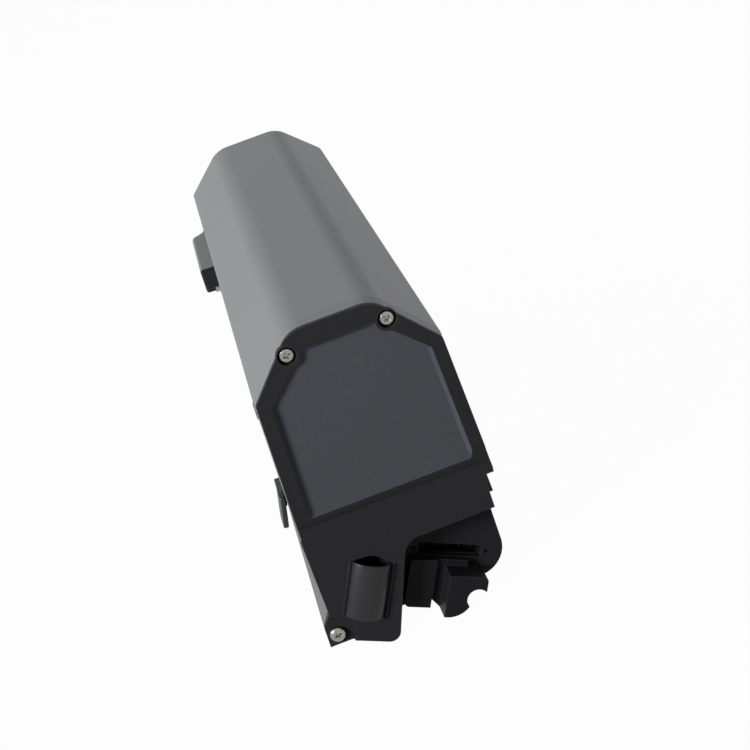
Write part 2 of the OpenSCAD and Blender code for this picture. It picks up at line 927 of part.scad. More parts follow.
module cap_screws() {
    color(steel)
        for (side = [-1, 1])
            screw_along(side * screw_x, cap_screw_z, counter_depth, 1, head_r, head_h, shank_r, shank_l);
}

module tab_screw() {
    color(steel)
        screw_along(-tab_screw_x, tab_screw_z, wall_set + tab_recess, 1, big_head_r, big_head_h,
                    big_shank_r, big_shank_l);
}

/* Tray */

function tray_points(top) = [[-tray_w / 2, 0], [tray_w / 2, 0], [tray_w / 2, top], [-tray_w / 2, top]];
tray_radii = [tray_round, tray_round, 0, 0];

module tray_section(d, top) {
    rounded(inset(tray_points(top + d), d), smaller(tray_radii, d));
}

// Middles of the screws that hold a bracket, in the dock's frame
module bracket_screw_spots() {
    translate([-claw_back - rib_gap - rib_w / 2, base_up - nose_r * 2])
        children();
    translate([-claw_back + big_head_r / 2, rod_r])
        children();
}

module lower_tray() {
    color(black)
        difference() {
            union() {
                difference() {
                    union() {
                        along_length(tray_start, tray_end)
                            tray_section(0, edge_z);
                        block([-edge_w / 2, tray_start, edge_z - flange_t],
                              [edge_w / 2, tray_end, edge_z]);
                    }
                    along_length(wall_in, tray_end - tray_wall)
                        tray_section(tray_wall, edge_z + over);
                }
                for (y = [cells_start:floor_rib_pitch:tray_end - floor_rib_pitch])
                    intersection() {
                        block([-tray_w, y, 0], [tray_w, y + tray_wall, tray_wall + floor_rib_h]);
                        along_length(tray_start, tray_end)
                            tray_section(tray_wall / 2, edge_z);
                    }
            }
            along_length(tray_start - over, wall_in + over)
                on_plug() {
                    pad(0, 0, mouth_w, mouth_h);
                    plug_screw_spots()
                        circle(r = small_shank_r);
                }
            for (start = [tray_start - over, tray_end - tray_wall - over])
                along_length(start, start + tray_wall + over * 2)
                    on_rod()
                        bracket_screw_spots()
                            circle(r = big_shank_r);
            for (side = [-1, 1])
                rail_screw_spots(side)
                    cylinder(h = tray_wall * 2, r = shank_r, center = true);
        }
}

module tray_seal() {
    outer = side_x(edge_z + seal_t) - plug_fit;
    color(dark)
        difference() {
            block([-outer, wall_in + gap, edge_z],
                  [outer, far_back - gap, edge_z + seal_t]);
            block([-outer + seal_w, wall_in + gap + seal_w, edge_z - over],
                  [outer - seal_w, far_back - gap - seal_w, edge_z + seal_t + over]);
        }
}

/* Brackets */

// The claw round the rod, in the dock's frame
module claw_outline() {
    arm_top = rod_r + arm_t;
    difference() {
        union() {
            rounded([[-claw_back, -claw_low], [-belly_short, -claw_low], [-belly_short, arm_top],
                     [-claw_back, arm_top]], [0, belly_r, 0, 0]);
            rounded([[-claw_back, 0], [arm_reach, 0], [arm_reach, arm_top], [-claw_back, arm_top]],
                    [0, 0, nose_r, 0]);
        }
        circle(r = rod_r);
        area([-belly_short, -rod_r], [arm_reach + over, rod_r - nose_r / 2]);
    }
}

// The plate with the upright rib
module rib_outline() {
    right = -claw_back - rib_gap;
    rounded([[right - rib_w, -claw_low], [right, -claw_low], [right, base_up], [right - rib_w, base_up]],
            [nose_r, 0, 0, nose_r]);
}

module base_outline() {
    rib_outline();
    polygon([[-claw_back - rib_gap - over, -claw_low + rib_gap], [-claw_back, -claw_low],
             [-belly_short * 2, -claw_low + rib_gap], [-belly_short * 2, base_up],
             [-claw_back - rib_gap - over, base_up]]);
}

module near_bracket() {
    base_start = tray_start - base_t;
    color(black)
        difference() {
            union() {
                along_length(base_start - claw_l, tray_start)
                    on_rod()
                        claw_outline();
                along_length(base_start, tray_start)
                    on_rod()
                        difference() {
                            base_outline();
                            circle(r = rod_r);
                        }
                along_length(base_start - rib_out, tray_start)
                    on_rod()
                        rib_outline();
            }
            along_length(base_start + nose_r / 2, tray_start + over)
                on_rod()
                    bracket_screw_spots()
                        circle(r = big_shank_r);
        }
}

module far_bracket() {
    base_end = tray_end + base_t;
    color(black)
        difference() {
            union() {
                along_length(tray_end, base_end + far_claw_l)
                    on_rod()
                        claw_outline();
                along_length(tray_end, base_end)
                    on_rod()
                        difference() {
                            base_outline();
                            circle(r = rod_r);
                        }
            }
            along_length(tray_end - over, base_end - nose_r / 2)
                on_rod()
                    bracket_screw_spots()
                        circle(r = big_shank_r);
        }
}

// A bracket's screws: the heads on one end of the shanks
module bracket_screw_pair(head_start, shank_start) {
    along_length(head_start, head_start + head_h)
        on_rod()
            bracket_screw_spots()
                circle(r = head_r);
    along_length(shank_start, shank_start + bracket_shank_l)
        on_rod()
            bracket_screw_spots()
                circle(r = big_shank_r);
}

module bracket_screws() {
    color(steel) {
        bracket_screw_pair(wall_in, wall_in - bracket_shank_l);
        bracket_screw_pair(tray_end - tray_wall - head_h, tray_end - tray_wall);
    }
}

/* Rails */

// Middles of a rail's screws, Z outwards
module rail_screw_spots(side) {
    step = (tray_end - right_start) / rail_screw_count;
    for (i = [0:rail_screw_count - 1])
        translate([side * tray_w / 2, near_y + right_start + step * (i + 1 / 2), (rail_h + web_h) / 2])
            rotate([0, side * 90, 0])
                children();
}

// A rail's section, for the right side
module rail_section() {
    inner = tray_w / 2;
    difference() {
        polygon([[inner, 0], [inner + rail_w, 0], [inner + rail_w - rail_lean, rail_side_h],
                 [foot_left, rail_h], [inner + rail_web, rail_h], [inner + rail_web, web_h],
                 [inner, web_h]]);
        translate([tab_screw_x, tab_screw_z])
            circle(r = big_shank_r);
    }
}

module rail(side, start) {
    color(gray)
        difference() {
            along_length(start, tray_end)
                scale([side, 1])
                    rail_section();
            rail_screw_spots(side)
                cylinder(h = rail_web * 3, r = shank_r, center = true);
        }
}

module rail_left() {
    rail(-1, wall_back);
}

module rail_right() {
    rail(1, right_start);
}

module rail_screws() {
    color(steel)
        for (side = [-1, 1])
            rail_screw_spots(side) {
                translate([0, 0, rail_web])
                    cylinder(h = head_h, r = head_r);
                translate([0, 0, -tray_wall])
                    cylinder(h = tray_wall + rail_web, r = shank_r);
            }
}

/* Far cap */

// The far end's side view, d behind its outside
module far_profile(d, low) {
    slant = d / cos(slope_lean);
    bend = shoulder_z - (slant - d) / tan(slope_lean);
    polygon([[far_face - d, low], [far_face - d, bend],
             [far_face - slope_run - slant - over * tan(slope_lean), roof_z + over],
             [0, roof_z + over], [0, low]]);
}

module far_cap() {
    color(black)
        difference() {
            intersection() {
                along_length(far_back - boss_out_l * 2, far_face)
                    difference() {
                        union() {
                            cover_section(plug_fit);
                            sill_outline(plug_fit + over);
                        }
                        area([-edge_w, edge_z - over], [edge_w, edge_z + gap]);
                    }
                across(-edge_w, edge_w)
                    difference() {
                        far_profile(0, 0);
                        far_profile(far_t, -over);
                    }
            }
            far_bosses(far_back - over, far_face + over, shank_r);
        }
}

module far_seal() {
    color(dark)
        difference() {
            intersection() {
                along_length(far_back - boss_out_l * 2, far_face)
                    cover_section(cover_wall);
                across(-edge_w, edge_w)
                    difference() {
                        far_profile(far_t, edge_z + flange_t);
                        far_profile(far_t + seal_w, 0);
                    }
            }
            along_length(0, cover_l)
                cover_section(plug_fit + seal_t);
            far_bosses(0, cover_l, boss_out_r + gap);
        }
}

module far_screws() {
    color(steel)
        for (side = [-1, 1])
            for (z = far_screw_zs)
                screw_along(side * (side_x(z) - far_screw_in), z, far_face, -1, head_r, head_h, shank_r,
                            shank_l);
}

/* Lock */

// The hollow curve in which an end runs out into the cover; way is -1 at the near end
function flare(y, way) = [
    for (t = [0:arc_step:90])
        [y + way * flare_l * (1 - sin(t)), flare_h * (1 - cos(t))]];
function reversed(points) = [for (i = [1:len(points)]) points[len(points) - i]];

// A length of the housing with the given side view
module lock_length(outline) {
    intersection() {
        up_side(-lock_h / 2, lock_h / 2)
            polygon(outline);
        translate([0, lock_l + flare_l * 2, 0])
            rotate([90, 0, 0])
                linear_extrude(height = lock_l + flare_l * 4)
                    polygon([[-lock_h / 2, 0], [lock_h / 2, 0], [lock_h / 2, lock_out - lock_slope],
                             [lock_h / 2 - lock_slope, lock_out], [-lock_h / 2 + lock_slope, lock_out],
                             [-lock_h / 2, lock_out - lock_slope]]);
    }
}

// What lies under the rising underside
module under_nose() {
    out_of_side(-over, lock_out + over)
        polygon([[lock_h / 2 - lock_tip, -lock_out], [lock_h / 2 - lock_tip, 0],
                 [-lock_h / 2, lock_rise], [-lock_h / 2 - over, lock_rise],
                 [-lock_h / 2 - over, -lock_out]]);
}

// The run-out on the cover in front of the housing's near tip
module lock_ramp() {
    up_side(lock_h / 2 - lock_tip, lock_h / 2)
        polygon([each flare(0, -1), [0, -cover_wall / 2], [-flare_l, -cover_wall / 2]]);
}

// The bolt's section: Y along the length, Z outwards
module bolt_outline(play) {
    area([barrel_y - bolt_w / 2 - play, bolt_back - play],
         [barrel_y + bolt_w / 2 + play, bolt_back + bolt_t + play]);
}

module lock_case() {
    color(gray)
        on_left_side(lock_start, lock_z)
            difference() {
                lock_length([[insert_l, 0], [insert_l, lock_out], [lock_l, lock_out],
                             each reversed(flare(lock_l + lock_draft, 1))]);
                under_nose();
                translate([0, barrel_y, lock_out - barrel_l - slide_play])
                    cylinder(h = barrel_l + lock_out, r = barrel_r + barrel_play);
                up_side(-lock_h, bolt_low + bolt_l + bolt_travel + slide_play)
                    bolt_outline(slide_play);
            }
}

module lock_insert() {
    color(black)
        on_left_side(lock_start, lock_z)
            difference() {
                lock_length([[0, 0], [0, lock_out - lock_taper], [insert_l, lock_out], [insert_l, 0]]);
                under_nose();
            }
}

module lock_barrel() {
    color(steel)
        on_left_side(lock_start, lock_z)
            translate([0, barrel_y, 0])
                difference() {
                    out_of_side(lock_out - barrel_l, lock_out)
                        circle(r = barrel_r);
                    out_of_side(lock_out - key_depth, lock_out + over)
                        pad(0, 0, key_l, key_w);
                }
}

module lock_bolt() {
    color(steel)
        on_left_side(lock_start, lock_z)
            up_side(bolt_low, bolt_low + bolt_l)
                bolt_outline(0);
}

/* Charge port */

// The flap's frame: X up from the hinge line, Z outwards
module on_flap() {
    on_left_side(port_y, port_z)
        translate([hinge_up, 0, hinge_lift])
            rotate([0, flap_rest, 0])
                children();
}

module charge_flap() {
    color(dark)
        on_flap() {
            out_of_side(-flap_t / 2, flap_t / 2)
                rounded([[-flap_l, -flap_w / 2], [0, -flap_w / 2], [0, flap_w / 2], [-flap_l, flap_w / 2]],
                        [flap_round, 0, 0, flap_round]);
            rotate([90, 0, 0])
                cylinder(h = flap_w, r = flap_t / 2, center = true);
            translate([-hinge_up, 0, -flap_t / 2 - flap_plug_l])
                cylinder(h = flap_plug_l + flap_t / 2, r = flap_plug_r);
        }
}

// The anchor's stem, which is pressed through the cover above the hinge
module stem_outline(play) {
    pad(anchor_low + anchor_l / 2, 0, stem_h + play * 2, stem_w + play * 2);
}

module flap_anchor() {
    color(dark)
        on_left_side(port_y, port_z) {
            out_of_side(-cover_wall, over)
                stem_outline(0);
            out_of_side(0, hinge_lift + flap_t / 2)
                rounded([[anchor_low, -flap_w / 2], [anchor_low + anchor_l, -flap_w / 2],
                         [anchor_low + anchor_l, flap_w / 2], [anchor_low, flap_w / 2]],
                        [0, flap_t / 2, flap_t / 2, 0]);
        }
}

module charge_socket() {
    color(black)
        on_left_side(port_y, port_z) {
            difference() {
                union() {
                    out_of_side(-socket_l, 0)
                        circle(r = port_r - gap);
                    out_of_side(-socket_l, -cover_wall)
                        circle(r = socket_r);
                }
                out_of_side(-socket_bore_l, over)
                    circle(r = socket_bore_r);
            }
            out_of_side(-socket_l, -socket_pin_in)
                circle(r = socket_pin_r);
        }
}

/* Gauge */

module window_outline(rim) {
    area([-window_h / 2 - rim, window_gap - rim], [window_h / 2 + rim, window_gap + window_l + rim]);
}

module gauge_button() {
    color(dark)
        on_left_side(button_y, gauge_z) {
            out_of_side(-cover_wall - gap - gauge_rim, button_out)
                circle(r = button_r);
            out_of_side(-cover_wall - gap - gauge_rim, -cover_wall - gap)
                circle(r = button_r + slide_play + gauge_rim);
        }
}

module gauge_window() {
    color(smoke)
        on_left_side(button_y, gauge_z) {
            out_of_side(-cover_wall, 0)
                window_outline(-gap / 2);
            out_of_side(-cover_wall - gauge_rim, -cover_wall)
                window_outline(gauge_rim);
            out_of_side(gauge_top, -cover_wall)
                window_outline(-gauge_rim);
        }
}

module gauge_board() {
    color(board_green)
        on_left_side(button_y, gauge_z)
            out_of_side(gauge_top - board_t, gauge_top)
                area([-button_r - gauge_over, -button_r - gauge_over],
                     [button_r + gauge_over, window_gap + window_l + gauge_over]);
}

/* Cells */

module cell_spots() {
    for (i = [0:cell_columns - 1])
        for (j = [0:cell_rows - 1])
            translate([cells_start + cell_r + cell_pitch * i, cells_up + cell_r + cell_pitch * j])
                children();
}

module cells() {
    color(cell_blue)
        across(-cell_l / 2, cell_l / 2)
            cell_spots()
                circle(r = cell_r, $fn = cell_fn);
}

module cell_holder(side) {
    slab = [cell_l / 2 - holder_l, cell_l / 2];
    rim = [cell_l / 2 - holder_l, tray_w / 2 - tray_wall - gap];
    low = [cells_start - holder_frame, cells_up - holder_frame];
    high = [cells_end + holder_frame, cells_high + holder_frame];
    edge = [holder_frame, holder_frame];
    color(black)
        intersection() {
            union() {
                across(min(side * slab[0], side * slab[1]), max(side * slab[0], side * slab[1]))
                    difference() {
                        area(low, high);
                        cell_spots()
                            circle(r = cell_r + gap, $fn = cell_fn);
                    }
                across(min(side * rim[0], side * rim[1]), max(side * rim[0], side * rim[1]))
                    difference() {
                        area(low, high);
                        area(low + edge, high - edge);
                    }
                for (y = [board_start + post_h, board_start + board_l - post_h * 2])
                    block([min(side * slab[0], side * slab[1]), y, high.y - holder_frame],
                          [max(side * slab[0], side * slab[1]), y + post_h, high.y + post_h]);
            }
            along_length(low.x - over, high.x + over)
                tray_section(tray_wall + gap, roof_z);
        }
}

module cell_holder_left() {
    cell_holder(-1);
}

module cell_holder_right() {
    cell_holder(1);
}

// Strips over the columns, linked in pairs from the given column on
module strips(side, first) {
    inner = min(side * cell_l / 2, side * (cell_l / 2 + strip_t));
    color(nickel)
        across(inner, inner + strip_t) {
            for (i = [0:cell_columns - 1])
                pad(cells_start + cell_r + cell_pitch * i, (cells_up + cells_high) / 2,
                    strip_w, cells_high - cells_up - cell_r);
            for (i = [first:2:cell_columns - 2])
                for (j = [0:cell_rows - 1])
                    pad(cells_start + cell_r + cell_pitch * (i + 1 / 2), cells_up + cell_r + cell_pitch * j,
                        cell_pitch, link_h);
        }
}

module strips_left() {
    strips(-1, 0);
}

module strips_right() {
    strips(1, 1);
}

module near_foam() {
    color(foam)
        block([-cell_l / 2 + holder_frame, cells_start - holder_frame - near_foam_l, cells_up],
              [-holder_frame, cells_start - holder_frame, cells_up + foam_h]);
}

module far_foam() {
    color(foam)
        block([-cell_l / 2 + holder_frame, cells_end + holder_frame, cells_up + foam_h / 2],
              [cell_l / 2 - holder_frame, tray_end - tray_wall - gap * 2, cells_up + foam_h * 2]);
}

/* Electronics */

module bms_board() {
    color(board_green)
        block([-board_w / 2, board_start, board_z], [board_w / 2, board_start + board_l, board_top]);
}

module bms_parts() {
    color(dark) {
        for (i = [0:fet_count - 1])
            block([-fet_x - fet_w / 2, fet_start + fet_pitch * i, board_top],
                  [-fet_x + fet_w / 2, fet_start + fet_pitch * i + fet_w, board_top + fet_h]);
        for (i = [0:can_count - 1])
            translate([fet_x, near_y + fet_start + fet_w + can_pitch * i, board_top])
                cylinder(h = can_h, r = can_r);
        block([-fet_w / 2, board_start + shunt_in, board_top],
              [fet_w / 2, board_start + shunt_in + shunt_l, board_top + shunt_h]);
    }
}

module heat_spreader() {
    color(aluminium)
        block([-fet_x - fet_w / 2, fet_start, board_top + fet_h],
              [-fet_x + fet_w / 2, fet_start + fet_pitch * (fet_count - 1) + fet_w,
               board_top + fet_h + spreader_h]);
}

module fuse_holder() {
    color(dark)
        translate([-cell_l / 2, 0, 0])
            difference() {
                block([0, fuse_y - fuse_l, fuse_z], [fuse_w, fuse_y, fuse_z + fuse_h]);
                block([fuse_t, fuse_y - fuse_l - over, fuse_z + fuse_h / 2 - fuse_t],
                      [fuse_w - fuse_t, fuse_y - fuse_t, fuse_z + fuse_h / 2 + fuse_t]);
            }
}

module fuse_link() {
    color(brass)
        translate([-cell_l / 2, 0, 0])
            block([fuse_t, fuse_y - fuse_l - fuse_t, fuse_z + fuse_h / 2 - fuse_t + gap],
                  [fuse_w - fuse_t, fuse_y - fuse_t, fuse_z + fuse_h / 2 + fuse_t - gap]);
}

// A quarter turn of a lead, from straight down to the near end
module lead_elbow() {
    rotate([0, 90, 0])
        rotate_extrude(angle = 90)
            translate([lead_bend, 0])
                circle(r = lead_r);
}

// A lead from a blade's back, up beside the cells and over to the board
module lead(x, low) {
    high = board_top + lead_r;
    translate([x, near_y + lead_y, 0]) {
        translate([0, 0, low + lead_bend])
            cylinder(h = high - low - lead_bend * 2, r = lead_r);
        translate([0, -lead_bend, low + lead_bend])
            lead_elbow();
        translate([0, lead_bend, high - lead_bend])
            rotate([180, 0, 0])
                lead_elbow();
        translate([0, lead_bend, high])
            rotate([-90, 0, 0])
                cylinder(h = board_start - lead_y - lead_bend + lead_over, r = lead_r);
    }
}

// Place of a blade of the connector, counted from the middle, in the X-Z plane
function blade_spot(i) = [rod_x, rod_z] + rotated([blade_step * i - plug_in, plug_up], -dock_tilt);

module lead_plus() {
    spot = blade_spot((blade_count - 1) / 2);
    color(red)
        lead(spot.x, spot.y);
}

module lead_minus() {
    spot = blade_spot(-(blade_count - 1) / 2);
    color(dark)
        lead(spot.x, spot.y);
}

// The connector's frame in the X-Z plane, tilted like the dock
module on_plug() {
    on_rod()
        translate([-plug_in, plug_up])
            children();
}

module blade_outlines() {
    for (i = [0:blade_count - 1])
        pad(blade_step * (i - (blade_count - 1) / 2), 0, blade_t, blade_h);
}

// Middles of the screws at the ends of the connector's flange
module plug_screw_spots() {
    for (side = [-1, 1])
        translate([side * plug_screw_x, 0])
            children();
}

module connector_body() {
    color(dark)
        difference() {
            union() {
                along_length(wall_in, wall_in + plug_t)
                    on_plug()
                        pad(0, 0, mouth_w + plug_rim * 2, plug_h);
                along_length(wall_in, wall_in + plug_l)
                    on_plug()
                        pad(0, 0, mouth_w, plug_h);
            }
            along_length(wall_in - over, wall_in + plug_hollow)
                on_plug()
                    pad(0, 0, mouth_w - plug_wall, mouth_h - plug_wall);
            along_length(wall_in, wall_in + plug_l + over)
                on_plug()
                    blade_outlines();
            along_length(wall_in - over, wall_in + plug_t + over)
                on_plug()
                    plug_screw_spots()
                        circle(r = small_shank_r);
        }
}

module contact_blades() {
    color(brass)
        along_length(wall_in + blade_in, lead_y - lead_bend)
            on_plug()
                blade_outlines();
}

module connector_screws() {
    seat = wall_in + plug_t;
    color(steel) {
        along_length(seat, seat + small_head_h)
            on_plug()
                plug_screw_spots()
                    circle(r = small_head_r);
        along_length(seat - small_shank_l, seat)
            on_plug()
                plug_screw_spots()
                    circle(r = small_shank_r);
    }
}

shell_cover();
near_cap();
lower_tray();
far_cap();
near_bracket();
far_bracket();
rail_left();
rail_right();
lock_case();
lock_insert();
lock_barrel();
lock_bolt();
charge_flap();
flap_anchor();
charge_socket();
gauge_button();
gauge_window();
gauge_board();
cap_seal();
far_seal();
tray_seal();
cells();
cell_holder_left();
cell_holder_right();
strips_left();
strips_right();
near_foam();
far_foam();
bms_board();
bms_parts();
heat_spreader();
fuse_holder();
fuse_link();
lead_plus();
lead_minus();
connector_body();
contact_blades();
cap_screws();
tab_screw();
far_screws();
rail_screws();
connector_screws();
bracket_screws();
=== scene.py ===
# Battery of an electric bicycle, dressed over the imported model. Metres; sizes are written in mm.

import math

import bpy
from mathutils import Matrix, Vector


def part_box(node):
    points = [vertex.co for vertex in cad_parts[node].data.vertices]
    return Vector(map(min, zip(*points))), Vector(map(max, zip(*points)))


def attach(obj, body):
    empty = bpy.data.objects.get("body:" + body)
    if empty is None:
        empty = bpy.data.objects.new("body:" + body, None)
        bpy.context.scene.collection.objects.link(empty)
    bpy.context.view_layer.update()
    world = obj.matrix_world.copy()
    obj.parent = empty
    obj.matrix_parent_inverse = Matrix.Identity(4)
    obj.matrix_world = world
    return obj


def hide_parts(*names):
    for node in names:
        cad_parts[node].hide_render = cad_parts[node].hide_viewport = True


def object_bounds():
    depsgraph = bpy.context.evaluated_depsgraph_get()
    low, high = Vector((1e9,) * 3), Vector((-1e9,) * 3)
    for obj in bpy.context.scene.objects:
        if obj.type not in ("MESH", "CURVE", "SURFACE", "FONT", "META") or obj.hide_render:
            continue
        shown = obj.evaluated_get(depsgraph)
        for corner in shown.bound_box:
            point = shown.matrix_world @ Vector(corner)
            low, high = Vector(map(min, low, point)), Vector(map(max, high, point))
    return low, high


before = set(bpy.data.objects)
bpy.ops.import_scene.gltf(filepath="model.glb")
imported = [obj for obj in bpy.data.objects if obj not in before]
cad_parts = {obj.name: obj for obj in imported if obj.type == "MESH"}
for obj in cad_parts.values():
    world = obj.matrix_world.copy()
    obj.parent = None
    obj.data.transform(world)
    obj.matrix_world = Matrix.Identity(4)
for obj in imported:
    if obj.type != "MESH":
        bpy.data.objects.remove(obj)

cad_box = [list(corner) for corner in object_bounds()]
MM = 0.001


# Camera: the photograph looks down the length from the dock end, a little from the left and
# rolled in the hand. Place, view axes and focal length come from a fit to the cap and the roof.
VIEW_RIGHT = (0.9347480, -0.1672361, -0.3134936)
VIEW_DOWN = (-0.3528605, -0.3334745, -0.8742336)
VIEW_AHEAD = (0.0416613, 0.9278076, -0.3707255)
EYE = (-21.106, -897.574, 403.939)
FOCAL = 81.07
SENSOR = 36
SEES_TO = 60

lens = bpy.data.cameras.new("camera")
lens.lens = FOCAL
lens.sensor_width = SENSOR
lens.clip_end = SEES_TO
camera = bpy.data.objects.new("camera", lens)
bpy.context.collection.objects.link(camera)
turn = Matrix((VIEW_RIGHT, [-v for v in VIEW_DOWN], [-v for v in VIEW_AHEAD])).transposed()
camera.matrix_world = Matrix.Translation([v * MM for v in EYE]) @ turn.to_4x4()
bpy.context.scene.camera = camera
bpy.context.scene.view_settings.view_transform = "Standard"


# Floor: a wide sheet of matt pale gray paper, laid under the lowest point of the dock claws. The
# camera and polished parts see it nearly white, and it keeps the object's soft shadow.
FLOOR_SIZE = 40
FLOOR_GRAY = "#a0a0a0"
SEEN_WHITE = 0.97
WHITE = (1, 1, 1, 1)


def linear(code):
    """The linear colour, with its alpha, of an sRGB hex value."""
    parts = [int(code[i:i + 2], 16) / 255 for i in (1, 3, 5)]
    return [p / 12.92 if p <= 0.04045 else ((p + 0.055) / 1.055) ** 2.4 for p in parts] + [1]


def add(tree, kind, settings=(), links=()):
    """Adds a node; settings are input or attribute values, links are (input, node, output)."""
    new = tree.nodes.new(kind)
    for key, value in dict(settings).items():
        if isinstance(key, str) and hasattr(new, key):
            setattr(new, key, value)
        else:
            new.inputs[key].default_value = value
    for socket, source, output in links:
        tree.links.new(source.outputs[output], new.inputs[socket])
    return new


def blank(name):
    """A new material and its empty node tree."""
    material = bpy.data.materials.new(name)
    material.use_nodes = True
    material.node_tree.nodes.clear()
    return material, material.node_tree


def seen_straight(tree):
    """1 for rays of the camera, off polish or through glass, 0 for light that falls on things."""
    rays = add(tree, "ShaderNodeLightPath")
    seen = add(tree, "ShaderNodeMath", {"operation": "MAXIMUM"},
               [(0, rays, "Is Camera Ray"), (1, rays, "Is Glossy Ray")])
    return add(tree, "ShaderNodeMath", {"operation": "MAXIMUM"},
               [(0, seen, 0), (1, rays, "Is Transmission Ray")])


paper, tree = blank("matt_paper")
seen = add(tree, "ShaderNodeMath", {"operation": "MULTIPLY", 1: SEEN_WHITE},
           [(0, seen_straight(tree), 0)])
matt = add(tree, "ShaderNodeBsdfDiffuse", {"Color": linear(FLOOR_GRAY)})
glow = add(tree, "ShaderNodeEmission", {"Color": WHITE, "Strength": 1})
mixed = add(tree, "ShaderNodeMixShader", (), [(0, seen, 0), (1, matt, 0), (2, glow, 0)])
add(tree, "ShaderNodeOutputMaterial", (), [("Surface", mixed, 0)])

bpy.ops.object.select_all(action="DESELECT")
bpy.ops.mesh.primitive_plane_add(size=FLOOR_SIZE, location=(0, 0, cad_box[0][2]))
floor = bpy.context.object
floor.name = "floor"
bpy.ops.object.transform_apply()
floor.data.materials.append(paper)


# Studio light: a dim pale room, a soft panel behind the battery on either side, and a stronger
# one in front on the left. All are larger than the battery, so that no edge of light is hard.
ROOM_LIGHT = 0.1
AIM = (0, 0, 0.08)
PANELS = (  # name, place and width in metres, watts
    ("key", (-1.8, 0.7, 0.95), 1.1, 16),
    ("fill", (1.8, 1.3, 0.95), 1.1, 26),
    ("front", (-1.8, -1.5, 1.2), 0.7, 82),
)

room = bpy.data.worlds.new("room")
room.use_nodes = True
tree = room.node_tree
tree.nodes.clear()
seen = seen_straight(tree)
dim = add(tree, "ShaderNodeBackground", {"Color": WHITE, "Strength": ROOM_LIGHT})
white = add(tree, "ShaderNodeBackground", {"Color": WHITE, "Strength": 1})
mixed = add(tree, "ShaderNodeMixShader", (), [(0, seen, 0), (1, dim, 0), (2, white, 0)])
add(tree, "ShaderNodeOutputWorld", (), [("Surface", mixed, 0)])
bpy.context.scene.world = room

for name, place, size, power in PANELS:
    lamp = bpy.data.lights.new(name, "AREA")
    lamp.shape = "SQUARE"
    lamp.size = size
    lamp.energy = power
    panel = bpy.data.objects.new(name, lamp)
    bpy.context.collection.objects.link(panel)
    panel.location = place
    panel.rotation_euler = (Vector(place) - Vector(AIM)).to_track_quat("Z", "Y").to_euler()


# Lower tray: the open black box that carries everything, injection moulded in glass-filled nylon
# with a fine spark-eroded grain. Its edges are eased as the mould leaves them and painted paler,
# partly as rubbing and partly as painted highlight.
TRAY_BLACK = "#1d1d1f"
# Black parts' edges take a paler colour: partly rubbing, partly painted highlight.
BLACK_WEAR_AND_SHEEN = "#4a4a4c"
EASE = 0.5
SHARP = math.radians(32)
NEARLY_FLAT = math.radians(0.5)
SAME_POINT = 0.002
FLOWS_PER_M = 9
WEAR_AND_SHEEN_PER_M = 140
EDGE_STARTS, EDGE_FULL = 0.995, 0.9
WEAR_AND_SHEEN = 0.55
SPECKED = 0.07
CLOUDED = 0.02
MATT_SPREAD = 0.06
NOISE = {"From Min": 0.3, "From Max": 0.7}


def pick(piece):
    """Makes a piece the only one selected, and active."""
    bpy.ops.object.select_all(action="DESELECT")
    piece.select_set(True)
    bpy.context.view_layer.objects.active = piece


